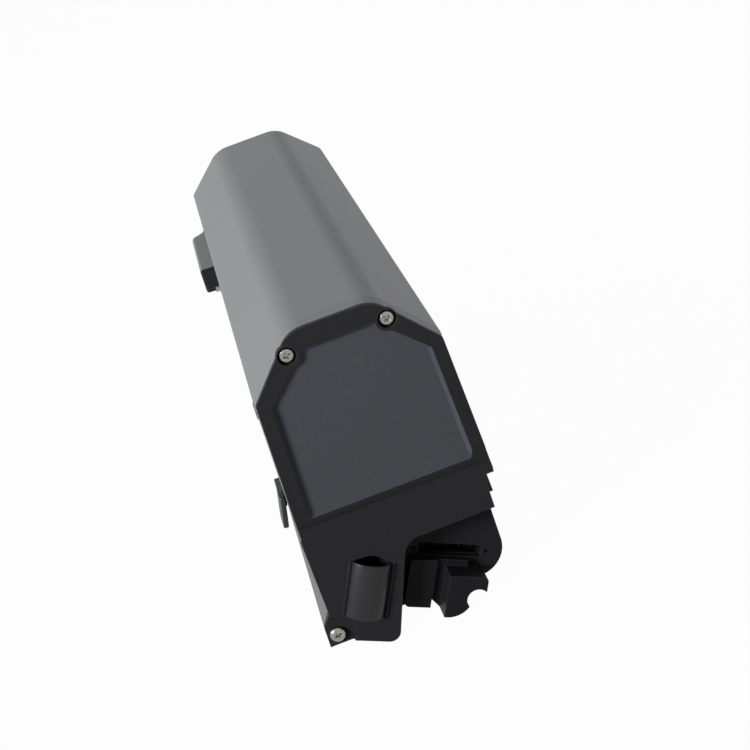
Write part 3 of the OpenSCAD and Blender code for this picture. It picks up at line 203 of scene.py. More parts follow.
def moulded(name, colour, worn_and_sheen, roughness, grain, depth, wear_and_sheen_width, shine=0.5):
    """A moulded plastic: spark-eroded grain, slow flow shading, and edges in a paler colour that
    stands for rubbing on most parts and for painted highlight on the black ones. Real grain is
    about
    0.1 mm wide, too fine for the render, so it is drawn several times as wide."""
    material, tree = blank(name)
    place = add(tree, "ShaderNodeTexCoord")
    grit = add(tree, "ShaderNodeTexNoise",
               {"Scale": 1 / (grain * MM), "Detail": 3, "Roughness": 0.6},
               [("Vector", place, "Object")])
    flow = add(tree, "ShaderNodeTexNoise", {"Scale": FLOWS_PER_M, "Detail": 2},
               [("Vector", place, "Object")])
    wear_and_sheen_patches = add(tree, "ShaderNodeTexNoise", {"Scale": WEAR_AND_SHEEN_PER_M, "Detail": 4},
              [("Vector", place, "Object")])
    # Convex edges take the paler colour, rubbing and painted highlight in one.
    round_edge = add(tree, "ShaderNodeBevel", {"samples": 6, "Radius": wear_and_sheen_width * MM})
    flat = add(tree, "ShaderNodeNewGeometry")
    edge = add(tree, "ShaderNodeVectorMath", {"operation": "DOT_PRODUCT"},
               [(0, round_edge, 0), (1, flat, "Normal")])
    edge = add(tree, "ShaderNodeMapRange",
               {"From Min": EDGE_STARTS, "From Max": EDGE_FULL, "To Min": 0, "To Max": WEAR_AND_SHEEN},
               [("Value", edge, "Value")])
    edge = add(tree, "ShaderNodeMath", {"operation": "MULTIPLY"}, [(0, edge, 0), (1, wear_and_sheen_patches, "Fac")])
    speck = add(tree, "ShaderNodeMapRange",
                {**NOISE, "To Min": 1 - SPECKED, "To Max": 1 + SPECKED}, [("Value", grit, "Fac")])
    shade = add(tree, "ShaderNodeMapRange",
                {**NOISE, "To Min": 1 - CLOUDED, "To Max": 1 + CLOUDED}, [("Value", flow, "Fac")])
    shade = add(tree, "ShaderNodeMath", {"operation": "MULTIPLY"}, [(0, speck, 0), (1, shade, 0)])
    body = add(tree, "ShaderNodeVectorMath", {"operation": "SCALE", 0: linear(colour)[:3]},
               [("Scale", shade, 0)])
    body = add(tree, "ShaderNodeMix", {"data_type": "RGBA", "B": linear(worn_and_sheen)},
               [("Factor", edge, 0), ("A", body, 0)])
    matt = add(tree, "ShaderNodeMapRange",
               {**NOISE, "To Min": roughness - MATT_SPREAD, "To Max": roughness + MATT_SPREAD},
               [("Value", grit, "Fac")])
    bump = add(tree, "ShaderNodeBump", {"Strength": 0.5, "Distance": depth * MM},
               [("Height", grit, "Fac")])
    skin = add(tree, "ShaderNodeBsdfPrincipled", {"IOR": 1.5, "Specular IOR Level": shine},
               [("Base Color", body, "Result"), ("Roughness", matt, 0), ("Normal", bump, 0)])
    add(tree, "ShaderNodeOutputMaterial", (), [("Surface", skin, 0)])
    return material


def subtract(piece, tool):
    """Cuts a tool's shape out of a piece and removes the tool."""
    pick(piece)
    cut = piece.modifiers.new("cut", "BOOLEAN")
    cut.operation = "DIFFERENCE"
    cut.object = tool
    bpy.ops.object.modifier_apply(modifier="cut")
    bpy.data.objects.remove(tool)


def eased(node, name, body, material, width=EASE, segments=2, trim=None):
    """A merged copy of a CAD node, with trim cut off and its edges rounded as a mould does."""
    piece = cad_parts[node].copy()
    piece.data = piece.data.copy()
    piece.name = name
    bpy.context.collection.objects.link(piece)
    pick(piece)
    bpy.ops.object.mode_set(mode="EDIT")
    bpy.ops.mesh.select_all(action="SELECT")
    bpy.ops.mesh.remove_doubles(threshold=SAME_POINT * MM)
    bpy.ops.mesh.dissolve_limited(angle_limit=NEARLY_FLAT)
    bpy.ops.object.mode_set(mode="OBJECT")
    if trim:
        subtract(piece, trim)
    edge = piece.modifiers.new("edge", "BEVEL")
    edge.width = width * MM
    edge.segments = segments
    edge.limit_method = "ANGLE"
    edge.angle_limit = SHARP
    edge.harden_normals = False
    bpy.ops.object.modifier_apply(modifier="edge")
    bpy.ops.object.shade_smooth_by_angle(angle=SHARP)
    flat = piece.modifiers.new("flat", "WEIGHTED_NORMAL")
    flat.keep_sharp = True
    bpy.ops.object.modifier_apply(modifier="flat")
    piece.data.materials.clear()
    piece.data.materials.append(material)
    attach(piece, body)
    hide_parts(node)
    return piece


tray_nylon = moulded("tray_black_nylon", TRAY_BLACK, BLACK_WEAR_AND_SHEEN,
                     roughness=0.5, grain=0.7, depth=0.04, wear_and_sheen_width=0.7, shine=0.07)
eased("lower_tray", "tray_moulded", "pack", tray_nylon)


# Cells: lithium cells in blue shrink-wrapped PVC that folds over both ends. Each is a drawn steel
# can with a crimped neck below its positive cap, and every second column is turned end for end.
CELL_BLUE = "#3f6f9f"
CELL_PALE = "#6a93bb"
CAN_STEEL = "#b9b8b3"
CELL_R = 10.3
CELL_L = 70
CELL_SEAT = 10.5
CELL_PITCH = 22
CELL_COLUMNS = 14
CELL_ROWS = 5
FOLD_IN = 1.4
FOLD_DEEP = 0.15
NECK_LIP = 0.39
NECK_WIDE = 3
NECK_DEEP = 1.1
ROUND = math.radians(35)
PATCHES_PER_M = 220
TARNISH = 0.2
LINE_SMOOTH, LINE_ROUGH = 0.08, 0.1
LINE_DEEP = 0.01
FACING = 0.9


def metal(name, colour, roughness, grain, stretch=(1, 1, 1), dull=0):
    """A metal whose surface runs in fine lines along one way, with a patchy tarnish. Its lines
    are finer on the real piece and are drawn wide enough to show."""
    material, tree = blank(name)
    place = add(tree, "ShaderNodeTexCoord")
    along = add(tree, "ShaderNodeMapping", {"Scale": stretch}, [("Vector", place, "Object")])
    lines = add(tree, "ShaderNodeTexNoise", {"Scale": 1 / (grain * MM), "Detail": 3},
                [("Vector", along, 0)])
    patch = add(tree, "ShaderNodeTexNoise", {"Scale": PATCHES_PER_M, "Detail": 4},
                [("Vector", place, "Object")])
    tone = add(tree, "ShaderNodeMapRange",
               {"From Min": 0.35, "From Max": 0.7, "To Min": 1, "To Max": 1 - TARNISH - dull},
               [("Value", patch, "Fac")])
    body = add(tree, "ShaderNodeVectorMath", {"operation": "SCALE", 0: linear(colour)[:3]},
               [("Scale", tone, 0)])
    matt = add(tree, "ShaderNodeMapRange",
               {**NOISE, "To Min": roughness - LINE_SMOOTH, "To Max": roughness + LINE_ROUGH},
               [("Value", lines, "Fac")])
    bump = add(tree, "ShaderNodeBump", {"Strength": 0.3, "Distance": LINE_DEEP * MM},
               [("Height", lines, "Fac")])
    skin = add(tree, "ShaderNodeBsdfPrincipled", {"Metallic": 1},
               [("Base Color", body, 0), ("Roughness", matt, 0), ("Normal", bump, 0)])
    add(tree, "ShaderNodeOutputMaterial", (), [("Surface", skin, 0)])
    return material


def rod(radius, length, middle=(0, 0, 0), turned=(0, 0, 0), sides=48):
    """A round bar, to be shaped; its radius and length in mm, its middle in metres."""
    bpy.ops.object.select_all(action="DESELECT")
    bpy.ops.mesh.primitive_cylinder_add(vertices=sides, radius=radius * MM, depth=length * MM,
                                        location=middle, rotation=turned)
    bpy.ops.object.transform_apply()
    return bpy.context.object


def faces_facing(piece, way):
    """Enters edit mode with only the faces selected that look along way."""
    bpy.ops.object.mode_set(mode="EDIT")
    bpy.ops.mesh.select_mode(type="FACE")
    bpy.ops.mesh.select_all(action="DESELECT")
    bpy.ops.object.mode_set(mode="OBJECT")
    for face in piece.data.polygons:
        face.select = face.normal.dot(Vector(way)) > FACING
    bpy.ops.object.mode_set(mode="EDIT")


def push(x, y, z):
    """Extrudes the selected faces by so many mm."""
    bpy.ops.mesh.extrude_region_move(TRANSFORM_OT_translate={"value": (x * MM, y * MM, z * MM)})


def placed(model, place):
    """A copy of a model with a mesh of its own, moved to its place."""
    copy = model.copy()
    copy.data = model.data.copy()
    bpy.context.collection.objects.link(copy)
    copy.data.transform(place)
    return copy


def gathered(copies, name):
    """The copies joined into one piece, smooth where they are round."""
    bpy.ops.object.select_all(action="DESELECT")
    for copy in copies:
        copy.select_set(True)
    bpy.context.view_layer.objects.active = copies[0]
    if len(copies) > 1:
        bpy.ops.object.join()
    piece = bpy.context.object
    piece.name = name
    bpy.ops.object.shade_smooth_by_angle(angle=ROUND)
    return piece


cell_wrap = moulded("blue_shrink_wrap", CELL_BLUE, CELL_PALE,
                    roughness=0.3, grain=1.6, depth=0.02, wear_and_sheen_width=0.4)
can_steel = metal("nickel_plated_can", CAN_STEEL, roughness=0.35, grain=0.3, dull=0.05)

cell = rod(CELL_R, CELL_L, turned=(0, math.pi / 2, 0), sides=24)
cell.data.materials.append(cell_wrap)
cell.data.materials.append(can_steel)
for way in (-1, 1):
    faces_facing(cell, (way, 0, 0))
    bpy.ops.mesh.inset(thickness=FOLD_IN * MM)
    push(-FOLD_DEEP * way, 0, 0)
    if way > 0:
        bpy.ops.mesh.inset(thickness=NECK_LIP * MM)
        push(-NECK_DEEP, 0, 0)
        bpy.ops.mesh.inset(thickness=NECK_WIDE * MM)
        push(NECK_DEEP, 0, 0)
    bpy.ops.object.mode_set(mode="OBJECT")
for face in cell.data.polygons:
    bare = math.hypot(face.center.y, face.center.z) < (CELL_R - FOLD_IN) * MM
    face.material_index = 1 if abs(face.normal.x) > 0.5 and bare else 0

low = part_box("cells")[0]
copies = []
for column in range(CELL_COLUMNS):
    for row in range(CELL_ROWS):
        along = low.y + (CELL_SEAT + column * CELL_PITCH) * MM
        up = low.z + (CELL_SEAT + row * CELL_PITCH) * MM
        turn = Matrix.Rotation(math.pi * (column % 2), 4, "Z")
        copies.append(placed(cell, Matrix.Translation((0, along, up)) @ turn))
bpy.data.objects.remove(cell)
cells = gathered(copies, "wrapped_cells")
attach(cells, "pack")
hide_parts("cells")


# Cell holders: two egg-crate frames of flame-retardant ABS, dull black and slightly mottled, that
# clip over the cells' ends from either side and carry the strips and the board's posts.
HOLDER_BLACK = "#303236"
HOLDER_WORN = "#4c4e52"


def dress(node, material):
    """Gives a CAD node, whose shape is right, its material."""
    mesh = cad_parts[node].data
    mesh.materials.clear()
    mesh.materials.append(material)


holder_abs = moulded("flame_retardant_abs", HOLDER_BLACK, HOLDER_WORN,
                     roughness=0.6, grain=0.8, depth=0.05, wear_and_sheen_width=0.5, shine=0.3)
dress("cell_holder_left", holder_abs)
dress("cell_holder_right", holder_abs)


# Nickel strips: pure nickel sheet, cold rolled along the pack, stamped out and spot-welded to the
# cells. It is soft and pale with a faint yellow cast and fine rolling lines.
NICKEL_SHEET = "#c6c2b6"
rolled_nickel = metal("rolled_nickel", NICKEL_SHEET,
                      roughness=0.34, grain=0.25, stretch=(1, 0.08, 1), dull=0.05)
dress("strips_left", rolled_nickel)
dress("strips_right", rolled_nickel)


# End pads: blocks of open-cell polyurethane foam, cut with a knife, that keep the cells from
# sliding. Their cells are about a millimetre wide and catch the light on their ribs.
FOAM_DARK = "#232427"
FOAM_RIB = "#4d4f53"
FOAM_CELL = 1.1
RIB_WIDE = 0.25
RIB_HIGH = 0.4

foam, tree = blank("open_cell_foam")
place = add(tree, "ShaderNodeTexCoord")
pores = add(tree, "ShaderNodeTexVoronoi",
            {"feature": "DISTANCE_TO_EDGE", "Scale": 1 / (FOAM_CELL * MM)},
            [("Vector", place, "Object")])
rib = add(tree, "ShaderNodeMapRange",
          {"From Min": 0, "From Max": RIB_WIDE, "To Min": 1, "To Max": 0},
          [("Value", pores, "Distance")])
tone = add(tree, "ShaderNodeMix",
           {"data_type": "RGBA", "A": linear(FOAM_DARK), "B": linear(FOAM_RIB)},
           [("Factor", rib, 0)])
bump = add(tree, "ShaderNodeBump", {"Strength": 0.9, "Distance": RIB_HIGH * MM},
           [("Height", rib, 0)])
skin = add(tree, "ShaderNodeBsdfPrincipled", {"Roughness": 0.95, "Specular IOR Level": 0.1},
           [("Base Color", tone, "Result"), ("Normal", bump, 0)])
add(tree, "ShaderNodeOutputMaterial", (), [("Surface", skin, 0)])
dress("near_foam", foam)
dress("far_foam", foam)


# Boards: glass-epoxy laminate under green solder mask. The copper tracks show through as paler
# lines, and the tinned pads and via holes stand bare between them.
MASK_GREEN = "#1c5434"
TRACK_GREEN = "#2f7548"
PAD_TIN = "#b9b6a8"
TRACK_STEP = 2.4
TRACK_LONG = 11
TRACK_WIDE = 0.5
TRACK_HIGH = 0.04
PAD_STEP = 4.2
PAD_R = 0.7
BLACK = (0, 0, 0, 1)

mask, tree = blank("solder_mask_board")
place = add(tree, "ShaderNodeTexCoord")
in_mm = add(tree, "ShaderNodeMapping", {"Scale": (1 / MM, 1 / MM, 1 / MM)},
            [("Vector", place, "Object")])
tracks = add(tree, "ShaderNodeTexBrick",
             {"Scale": 1, "Mortar Size": TRACK_WIDE, "Mortar Smooth": 0.1,
              "Brick Width": TRACK_LONG, "Row Height": TRACK_STEP,
              "Color1": BLACK, "Color2": BLACK, "Mortar": WHITE},
             [("Vector", in_mm, 0)])
holes = add(tree, "ShaderNodeTexVoronoi", {"Scale": 1 / PAD_STEP, "Randomness": 0.55},
            [("Vector", in_mm, 0)])
pad = add(tree, "ShaderNodeMath", {"operation": "LESS_THAN", 1: PAD_R / PAD_STEP},
          [(0, holes, "Distance")])
tone = add(tree, "ShaderNodeMix",
           {"data_type": "RGBA", "A": linear(MASK_GREEN), "B": linear(TRACK_GREEN)},
           [("Factor", tracks, "Color")])
tone = add(tree, "ShaderNodeMix", {"data_type": "RGBA", "B": linear(PAD_TIN)},
           [("Factor", pad, 0), ("A", tone, "Result")])
bump = add(tree, "ShaderNodeBump", {"Strength": 0.4, "Distance": TRACK_HIGH * MM},
           [("Height", tracks, "Color")])
skin = add(tree, "ShaderNodeBsdfPrincipled", {"Roughness": 0.32},
           [("Base Color", tone, "Result"), ("Metallic", pad, 0), ("Normal", bump, 0)])
add(tree, "ShaderNodeOutputMaterial", (), [("Surface", skin, 0)])
dress("bms_board", mask)
dress("gauge_board", mask)


# Parts on the board: transistors and shunt in black epoxy, moulded with a fine matt skin, and
# capacitors in a black sleeve. The fuse holder is of the same phenolic black.
EPOXY = "#232427"
EPOXY_WORN = "#3c3d40"
epoxy = moulded("moulded_epoxy", EPOXY, EPOXY_WORN,
                roughness=0.55, grain=0.35, depth=0.02, wear_and_sheen_width=0.3, shine=0.35)
dress("bms_parts", epoxy)
dress("fuse_holder", epoxy)


# Heat spreader: a bar of extruded aluminium over the transistors, with the draw lines of its die
# along its length and sawn ends.
BAR_ALUMINIUM = "#a9abae"
extruded = metal("extruded_aluminium", BAR_ALUMINIUM,
                 roughness=0.36, grain=0.3, stretch=(1, 0.05, 1))
eased("heat_spreader", "spreader_bar", "pack", extruded, width=0.4)


# Fuse link and connector blades: half-hard brass sheet with its rolling lines, punched out. Its
# brown is painted darker than brass, as the deep shade in the bay round the blades. The link is
# bolted into its holder, the blades are pressed into theirs.
BRASS_PAINTED_SHADE = "#3f3119"
painted_shade_brass = metal("punched_brass_painted_shade", BRASS_PAINTED_SHADE,
                    roughness=0.45, grain=0.3, stretch=(1, 0.2, 1), dull=0.1)
dress("fuse_link", painted_shade_brass)
eased("contact_blades", "connector_blades", "pack", painted_shade_brass, width=0.15)


# Discharge leads: tinned strands in red and black silicone sleeves, soft, dull and faintly dusty,
# led from the board down to the outer blades.
LEAD_RED = "#9c2428"
LEAD_RED_DUSTY = "#b85a5c"
LEAD_BLACK = "#222326"
LEAD_BLACK_DUSTY = "#3d3f43"
red_sleeve = moulded("red_silicone_lead", LEAD_RED, LEAD_RED_DUSTY,
                     roughness=0.5, grain=0.4, depth=0.01, wear_and_sheen_width=0.2, shine=0.4)
black_sleeve = moulded("black_silicone_lead", LEAD_BLACK, LEAD_BLACK_DUSTY,
                       roughness=0.5, grain=0.4, depth=0.01, wear_and_sheen_width=0.2, shine=0.4)
dress("lead_plus", red_sleeve)
dress("lead_minus", black_sleeve)


# Discharge connector: a body of black glass-filled nylon behind the mouth in the tray's wall,
# painted nearly pure black as the deep shade in the bay. Its two screws hold it from inside.
CONNECTOR_PAINTED_SHADE = "#121213"
connector_painted_shade_nylon = moulded("connector_nylon_painted_shade", CONNECTOR_PAINTED_SHADE, BLACK_WEAR_AND_SHEEN,
                          roughness=0.5, grain=0.6, depth=0.03, wear_and_sheen_width=0.7, shine=0.03)
eased("connector_body", "connector_moulded", "pack", connector_painted_shade_nylon, width=0.2)


# Dock brackets: the rib and the claw that ride on the cradle's rod, in a tougher black nylon,
# painted darker than the tray as the shade under the arch. They are screwed on from inside.
BRACKET_PAINTED_SHADE = "#1a1a1c"
bracket_painted_shade_nylon = moulded("bracket_nylon_painted_shade", BRACKET_PAINTED_SHADE, BLACK_WEAR_AND_SHEEN,
                        roughness=0.45, grain=0.6, depth=0.03, wear_and_sheen_width=0.7, shine=0.06)
eased("near_bracket", "near_dock_bracket", "pack", bracket_painted_shade_nylon, segments=3)
eased("far_bracket", "far_dock_bracket", "pack", bracket_painted_shade_nylon, segments=3)


# Rails: extruded aluminium angles in satin gray powder coat, sawn square and screwed to the tray,
# that guide the battery between the cradle's edges.
RAIL_GRAY = "#57585a"
RAIL_WORN = "#868789"
powder_coat = moulded("gray_powder_coat", RAIL_GRAY, RAIL_WORN,
                      roughness=0.45, grain=0.5, depth=0.04, wear_and_sheen_width=0.6, shine=0.15)
eased("rail_left", "rail_left_coated", "pack", powder_coat, width=0.35)
eased("rail_right", "rail_right_coated", "pack", powder_coat, width=0.35)


# Seals: black EPDM rubber rings in the joints between tray, cover and caps, cut or moulded, dull
# and slightly chalky.
EPDM = "#1c1c1d"
EPDM_CHALKY = "#333335"
epdm = moulded("black_epdm", EPDM, EPDM_CHALKY,
               roughness=0.75, grain=0.6, depth=0.02, wear_and_sheen_width=0.3, shine=0.2)
for node in ("tray_seal", "cap_seal", "far_seal"):
    dress(node, epdm)


# Cover: one warm gray injection moulding of ABS with a fine even grain. It is eased along every
# edge and shows slight flow shading and paler, rubbed edges.
COVER_GRAY = "#727375"
COVER_WORN = "#8c8d8f"
cover_abs = moulded("gray_abs", COVER_GRAY, COVER_WORN,
                    roughness=0.52, grain=0.45, depth=0.03, wear_and_sheen_width=0.8, shine=0.08)
eased("shell_cover", "cover", "pack", cover_abs)


# Near cap: one moulding of black glass-filled nylon, held by three screws. Rim, fold and foot are
# smooth, and the recessed panel has a coarser grain and a paler colour. The ridge below the fold
# and the flat front of the pin socket's boss are cut off its copy.
CAP_BLACK = "#2a2a2c"
PANEL_GRAY = "#424348"
PANEL_Y = -197.5
PANEL_LOW = 66
PANEL_RISE, PANEL_SINK = 1.9, 0.3
PANEL_LEAN = 0.4
RIDGE_AT, RIDGE_SIZE = (0, -200, 61.55), (90.4, 11.02, 3.9)
BOSS_AT = (-20.3, -191, 35.45)
BOSS_L = 28.3
FRONT_AT, FRONT_SIZE = (0, -9, -BOSS_L / 2), (19.8, 11.02, BOSS_L + 0.4)
DOCK_TILT = math.radians(26)


def block(size, middle, turned=(0, 0, 0)):
    """A box to cut with; its size in mm, its middle in metres."""
    bpy.ops.object.select_all(action="DESELECT")
    bpy.ops.mesh.primitive_cube_add(size=1, location=middle, rotation=turned)
    piece = bpy.context.object
    piece.scale = [v * MM for v in size]
    bpy.ops.object.transform_apply()
    return piece


cap_nylon = moulded("cap_black_nylon", CAP_BLACK, BLACK_WEAR_AND_SHEEN,
                    roughness=0.45, grain=0.6, depth=0.03, wear_and_sheen_width=0.7, shine=0.02)
grained_nylon = moulded("grained_nylon", PANEL_GRAY, BLACK_WEAR_AND_SHEEN,
                        roughness=0.55, grain=0.9, depth=0.06, wear_and_sheen_width=0.7, shine=0.15)

tilt = Matrix.Rotation(DOCK_TILT, 4, "Y")
in_dock = Matrix.Translation([v * MM for v in BOSS_AT]) @ tilt
ridge = block(RIDGE_SIZE, [v * MM for v in RIDGE_AT])
front = block(FRONT_SIZE, [v * MM for v in FRONT_AT])
front.data.transform(in_dock)
ridge.select_set(True)
bpy.ops.object.join()
cap = eased("near_cap", "end_cap", "pack", cap_nylon, segments=3, trim=front)
cap.data.materials.append(grained_nylon)
for face in cap.data.polygons:
    deep = face.center.y - PANEL_Y * MM
    on_panel = -PANEL_RISE * MM < deep < PANEL_SINK * MM and face.center.z > PANEL_LOW * MM
    if on_panel and face.normal.y < -PANEL_LEAN:
        face.material_index = 1


# Screw collars: the dark rings of black nylon round the two cap screws, moulded with the cap.
# Each is a short cup that closes its counterbore where that cuts the cover's edge.
COLLAR_R = 4.9
COLLAR_WALL = 0.6
COLLAR_L = 2.9
COLLAR_FRONT = -199.9
PAN_R = 3.2

reach = PAN_R * MM
low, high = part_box("cap_screws")
for side, x in (("left", low.x + reach), ("right", high.x - reach)):
    middle = (x, (COLLAR_FRONT + COLLAR_L / 2) * MM, (low.z + high.z) / 2)
    collar = rod(COLLAR_R, COLLAR_L, middle, turned=(math.pi / 2, 0, 0))
    collar.name = "screw_collar_" + side
    faces_facing(collar, (0, -1, 0))
    bpy.ops.mesh.inset(thickness=COLLAR_WALL * MM)
    push(0, COLLAR_L - COLLAR_WALL, 0)
    bpy.ops.object.mode_set(mode="OBJECT")
    bpy.ops.object.shade_smooth_by_angle(angle=SHARP)
    collar.data.materials.append(cap_nylon)
    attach(collar, "pack")


# Pin socket boss: the oval sleeve in the cap's leg that takes the cradle's pin. It is moulded with
# the cap and polished by its slide in the mould, so that it is glossier than the wall behind it.
BOSS_BLACK = "#212123"
BOSS_R = 10.45
BOSS_FLAT = 8.98 / BOSS_R
BORE_R = 8.7
BORE_L = 23.5
LIP = 0.6

boss = rod(BOSS_R, BOSS_L, (0, 0, -BOSS_L / 2 * MM), sides=96)
boss.name = "pin_socket_boss"
faces_facing(boss, (0, 0, 1))
bpy.ops.mesh.inset(thickness=(BOSS_R - BORE_R) * MM)
push(0, 0, -BORE_L)
bpy.ops.object.mode_set(mode="OBJECT")
lip = boss.modifiers.new("lip", "BEVEL")
lip.width = LIP * MM
lip.segments = 4
bpy.ops.object.modifier_apply(modifier="lip")
bpy.ops.object.shade_smooth_by_angle(angle=SHARP)
boss.data.transform(in_dock @ Matrix.Diagonal((1, BOSS_FLAT, 1, 1)))
boss_nylon = moulded("boss_polished_nylon", BOSS_BLACK, BLACK_WEAR_AND_SHEEN,
                     roughness=0.32, grain=0.6, depth=0.02, wear_and_sheen_width=0.7, shine=0.25)
boss.data.materials.append(boss_nylon)
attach(boss, "pack")


# Far cap: the plain black plate in the sloped far end, moulded of the same nylon as the near one
# and held by four screws.
eased("far_cap", "far_end_cap", "pack", cap_nylon)


# Lock housing: gray ABS like the cover, with a matt black nylon nose in front that keeps the key
# cylinder's run clear of road dirt. Both are screwed on from inside the cover.
NOSE_BLACK = "#2c2c2d"
eased("lock_case", "lock_housing", "pack", cover_abs, width=0.4, segments=3)
nose_nylon = moulded("nose_black_nylon", NOSE_BLACK, BLACK_WEAR_AND_SHEEN,
                     roughness=0.85, grain=0.6, depth=0.03, wear_and_sheen_width=0.7, shine=0.01)
eased("lock_insert", "lock_nose", "pack", nose_nylon, segments=3)


# Lock: a turned stainless cylinder that the key turns, and the flat ground steel bolt that it
# draws back. Both show the fine lines of their machining.
STEEL = "#b4b6b8"
stainless = metal("ground_stainless_steel", STEEL,
                  roughness=0.3, grain=0.3, stretch=(1, 1, 6))
eased("lock_barrel", "key_cylinder", "barrel", stainless, width=0.25)
eased("lock_bolt", "latch_bolt", "bolt", stainless, width=0.4)


# Charge socket: a round barrel of the same nylon as the tray, moulded round its centre pin and
# pressed into the cover behind the flap.
eased("charge_socket", "charge_socket_moulded", "pack", tray_nylon, width=0.2)


# Charge port flap, its anchor and the gauge's button: black silicone rubber, moulded smooth and
# dull, with a bluish bloom.
RUBBER = "#24262c"
RUBBER_BLOOM = "#454953"
silicone = moulded("black_silicone_rubber", RUBBER, RUBBER_BLOOM,
                   roughness=0.5, grain=0.5, depth=0.015, wear_and_sheen_width=0.6, shine=0.3)
eased("charge_flap", "port_flap", "flap", silicone, segments=3)
eased("flap_anchor", "port_flap_anchor", "pack", silicone, width=0.3, segments=3)
eased("gauge_button", "gauge_push_button", "button", silicone, segments=3)


# Gauge window: smoked polycarbonate, polished, with the faint hairline scratches of wiping. The
# charge lights shine through it from the board behind.
SMOKE = "#2c3135"
HAIR_WIDE = 0.2
HAIR_STRETCH = (1, 0.06, 1)
CLOUDS_PER_M = 60

smoked, tree = blank("smoked_polycarbonate")
place = add(tree, "ShaderNodeTexCoord")
along = add(tree, "ShaderNodeMapping", {"Scale": HAIR_STRETCH}, [("Vector", place, "Object")])
hairs = add(tree, "ShaderNodeTexNoise", {"Scale": 1 / (HAIR_WIDE * MM), "Detail": 2},
            [("Vector", along, 0)])
wiped = add(tree, "ShaderNodeMapRange",
            {"From Min": 0.4, "From Max": 0.7, "To Min": 0.05, "To Max": 0.16},
            [("Value", hairs, "Fac")])
cloud = add(tree, "ShaderNodeTexNoise", {"Scale": CLOUDS_PER_M, "Detail": 3},
            [("Vector", place, "Object")])
tone = add(tree, "ShaderNodeMapRange", {**NOISE, "To Min": 0.9, "To Max": 1.1},
           [("Value", cloud, "Fac")])
tone = add(tree, "ShaderNodeVectorMath", {"operation": "SCALE", 0: linear(SMOKE)[:3]},
           [("Scale", tone, 0)])
skin = add(tree, "ShaderNodeBsdfPrincipled", {"IOR": 1.58, "Transmission Weight": 0.5},
           [("Base Color", tone, 0), ("Roughness", wiped, 0)])
add(tree, "ShaderNodeOutputMaterial", (), [("Surface", skin, 0)])
eased("gauge_window", "gauge_light_window", "pack", smoked, width=0.3)


# Screws: nickel-plated steel pan heads, cold headed, with a domed top and a pressed cross recess,
# whose inside is painted dark as shade.
# One is modelled for each size and copied into its seats, each turned a little.
NICKEL = "#9a978e"
RECESS_PAINTED_SHADE = "#2e2c2a"
PAN_H = 2.2
M3_R = 1.5
M4_R = 1.95
CAP_HEAD = (3.7, PAN_H, M3_R, 14)  # radius and height of the head, radius and length of the shank
TAB_HEAD = (3.85, 2.6, M4_R, 16)
FAR_HEAD = (PAN_R, PAN_H, M3_R, 14)
RAIL_HEAD = (PAN_R, PAN_H, M3_R, 5.8)
CONNECTOR_HEAD = (1.9, 1.4, 1, 2.9)
BRACKET_HEAD = (PAN_R, PAN_H, M4_R, 4.4)
DOME = 0.62
TIP = 0.4
CROSS_LONG = 1.25
CROSS_WIDE = 0.38
CROSS_DEEP = 0.62
CROSS_TAPER = (0.45, 0.45, 0.8)
RECESS_R = 0.7
RECESS_TOP = 0.985
RIM = 0.03
HAND_TURN = math.radians(13)
FAR_LEAN = math.tan(math.radians(2.3216))
RAIL_SCREWS = 4
TRAY_WALL = 2.8

nickel_steel = metal("nickel_plated_steel", NICKEL, roughness=0.22, grain=0.6)
painted_shade_recess = metal("painted_shade_recess", RECESS_PAINTED_SHADE, roughness=0.5, grain=0.4)


def pan_screw(head_r, head_h, shank_r, shank_l):
    """A screw on the origin, its head above z = 0."""
    screw = rod(head_r, head_h, (0, 0, head_h / 2 * MM))
    faces_facing(screw, (0, 0, 1))
    bpy.ops.mesh.bevel(offset=head_h * DOME * MM, segments=6, profile=0.5, affect="EDGES")
    bpy.ops.object.mode_set(mode="OBJECT")
    faces_facing(screw, (0, 0, -1))
    bpy.ops.mesh.inset(thickness=(head_r - shank_r) * MM)
    push(0, 0, -shank_l)
    bpy.ops.mesh.bevel(offset=shank_r * TIP * MM, segments=2, affect="EDGES")
    bpy.ops.object.mode_set(mode="OBJECT")
    for turned in (0, math.pi / 2):
        bar = block((head_r * CROSS_LONG, head_r * CROSS_WIDE, head_h * CROSS_DEEP * 2),
                    (0, 0, head_h * MM), turned=(0, 0, turned))
        faces_facing(bar, (0, 0, -1))
        bpy.ops.transform.resize(value=CROSS_TAPER,
                                 center_override=(0, 0, head_h * (1 - CROSS_DEEP) * MM))
        bpy.ops.object.mode_set(mode="OBJECT")
        subtract(screw, bar)
    # Faces sunk in the cross take the dark steel that paints the shade inside the recess.
    for face in screw.data.polygons:
        across = math.hypot(face.center.x, face.center.y) / MM
        sunk = 0 < face.center.z / MM < head_h * RECESS_TOP
        face.material_index = 1 if sunk and across < head_r * RECESS_R else 0
    soft = screw.modifiers.new("edge", "BEVEL")
    soft.width = head_r * RIM * MM
    soft.segments = 2
    soft.angle_limit = ROUND
    bpy.ops.object.modifier_apply(modifier="edge")
    return screw


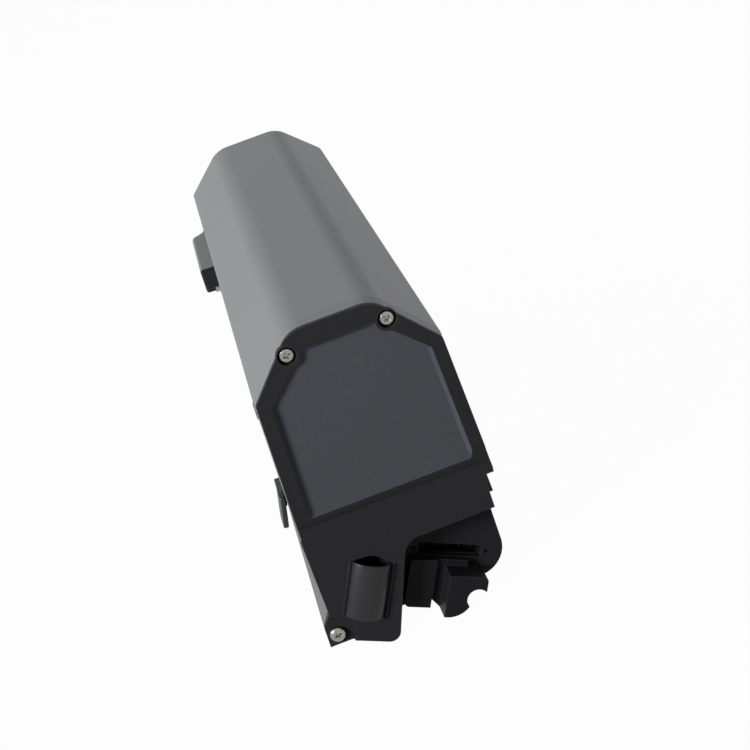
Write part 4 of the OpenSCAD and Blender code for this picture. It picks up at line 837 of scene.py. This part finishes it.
def screw_set(name, node, seats, sizes):
    """Copies of one screw; a seat is the place under its head and the way that the head looks."""
    model = pan_screw(*sizes)
    copies = []
    for number, (seat, way) in enumerate(seats):
        heading = Vector(way).to_track_quat("Z", "X").to_matrix().to_4x4()
        by_hand = Matrix.Rotation(HAND_TURN * (2 * number + 1), 4, "Z")
        copies.append(placed(model, Matrix.Translation(seat) @ heading @ by_hand))
    bpy.data.objects.remove(model)
    piece = gathered(copies, name)
    piece.data.materials.clear()
    piece.data.materials.append(nickel_steel)
    piece.data.materials.append(painted_shade_recess)
    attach(piece, "pack")
    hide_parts(node)


low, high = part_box("cap_screws")
middle = (low.z + high.z) / 2
screw_set("cap_screw_heads", "cap_screws",
          [((x, low.y + PAN_H * MM, middle), (0, -1, 0)) for x in (low.x + reach, high.x - reach)],
          CAP_HEAD)

low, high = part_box("tab_screw")
seat = ((low.x + high.x) / 2, low.y + TAB_HEAD[1] * MM, (low.z + high.z) / 2)
screw_set("tab_screw_head", "tab_screw", [(seat, (0, -1, 0))], TAB_HEAD)

low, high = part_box("far_screws")
rise = high.z - low.z - 2 * reach
screw_set("far_screw_heads", "far_screws",
          [((side * (high.x - reach - rise * FAR_LEAN * up), high.y - PAN_H * MM,
             low.z + reach + rise * up), (0, 1, 0))
           for side in (-1, 1) for up in (0, 1)], FAR_HEAD)

low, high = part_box("rail_screws")
pitch = (high.y - low.y - 2 * reach) / (RAIL_SCREWS - 1)
screw_set("rail_screw_heads", "rail_screws",
          [((side * (high.x - PAN_H * MM), low.y + reach + pitch * i, (low.z + high.z) / 2),
            (side, 0, 0))
           for side in (-1, 1) for i in range(RAIL_SCREWS)], RAIL_HEAD)

low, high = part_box("connector_screws")
inset = CONNECTOR_HEAD[0] * MM
under = high.y - CONNECTOR_HEAD[1] * MM
screw_set("connector_screw_heads", "connector_screws",
          [((low.x + inset, under, high.z - inset), (0, 1, 0)),
           ((high.x - inset, under, low.z + inset), (0, 1, 0))], CONNECTOR_HEAD)

low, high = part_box("bracket_screws")
tray_low, tray_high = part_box("lower_tray")
screw_set("bracket_screw_heads", "bracket_screws",
          [((x, y, z), (0, way, 0))
           for y, way in ((tray_low.y + TRAY_WALL * MM, 1), (tray_high.y - TRAY_WALL * MM, -1))
           for x, z in ((low.x + reach, high.z - reach), (high.x - reach, low.z + reach))],
          BRACKET_HEAD)
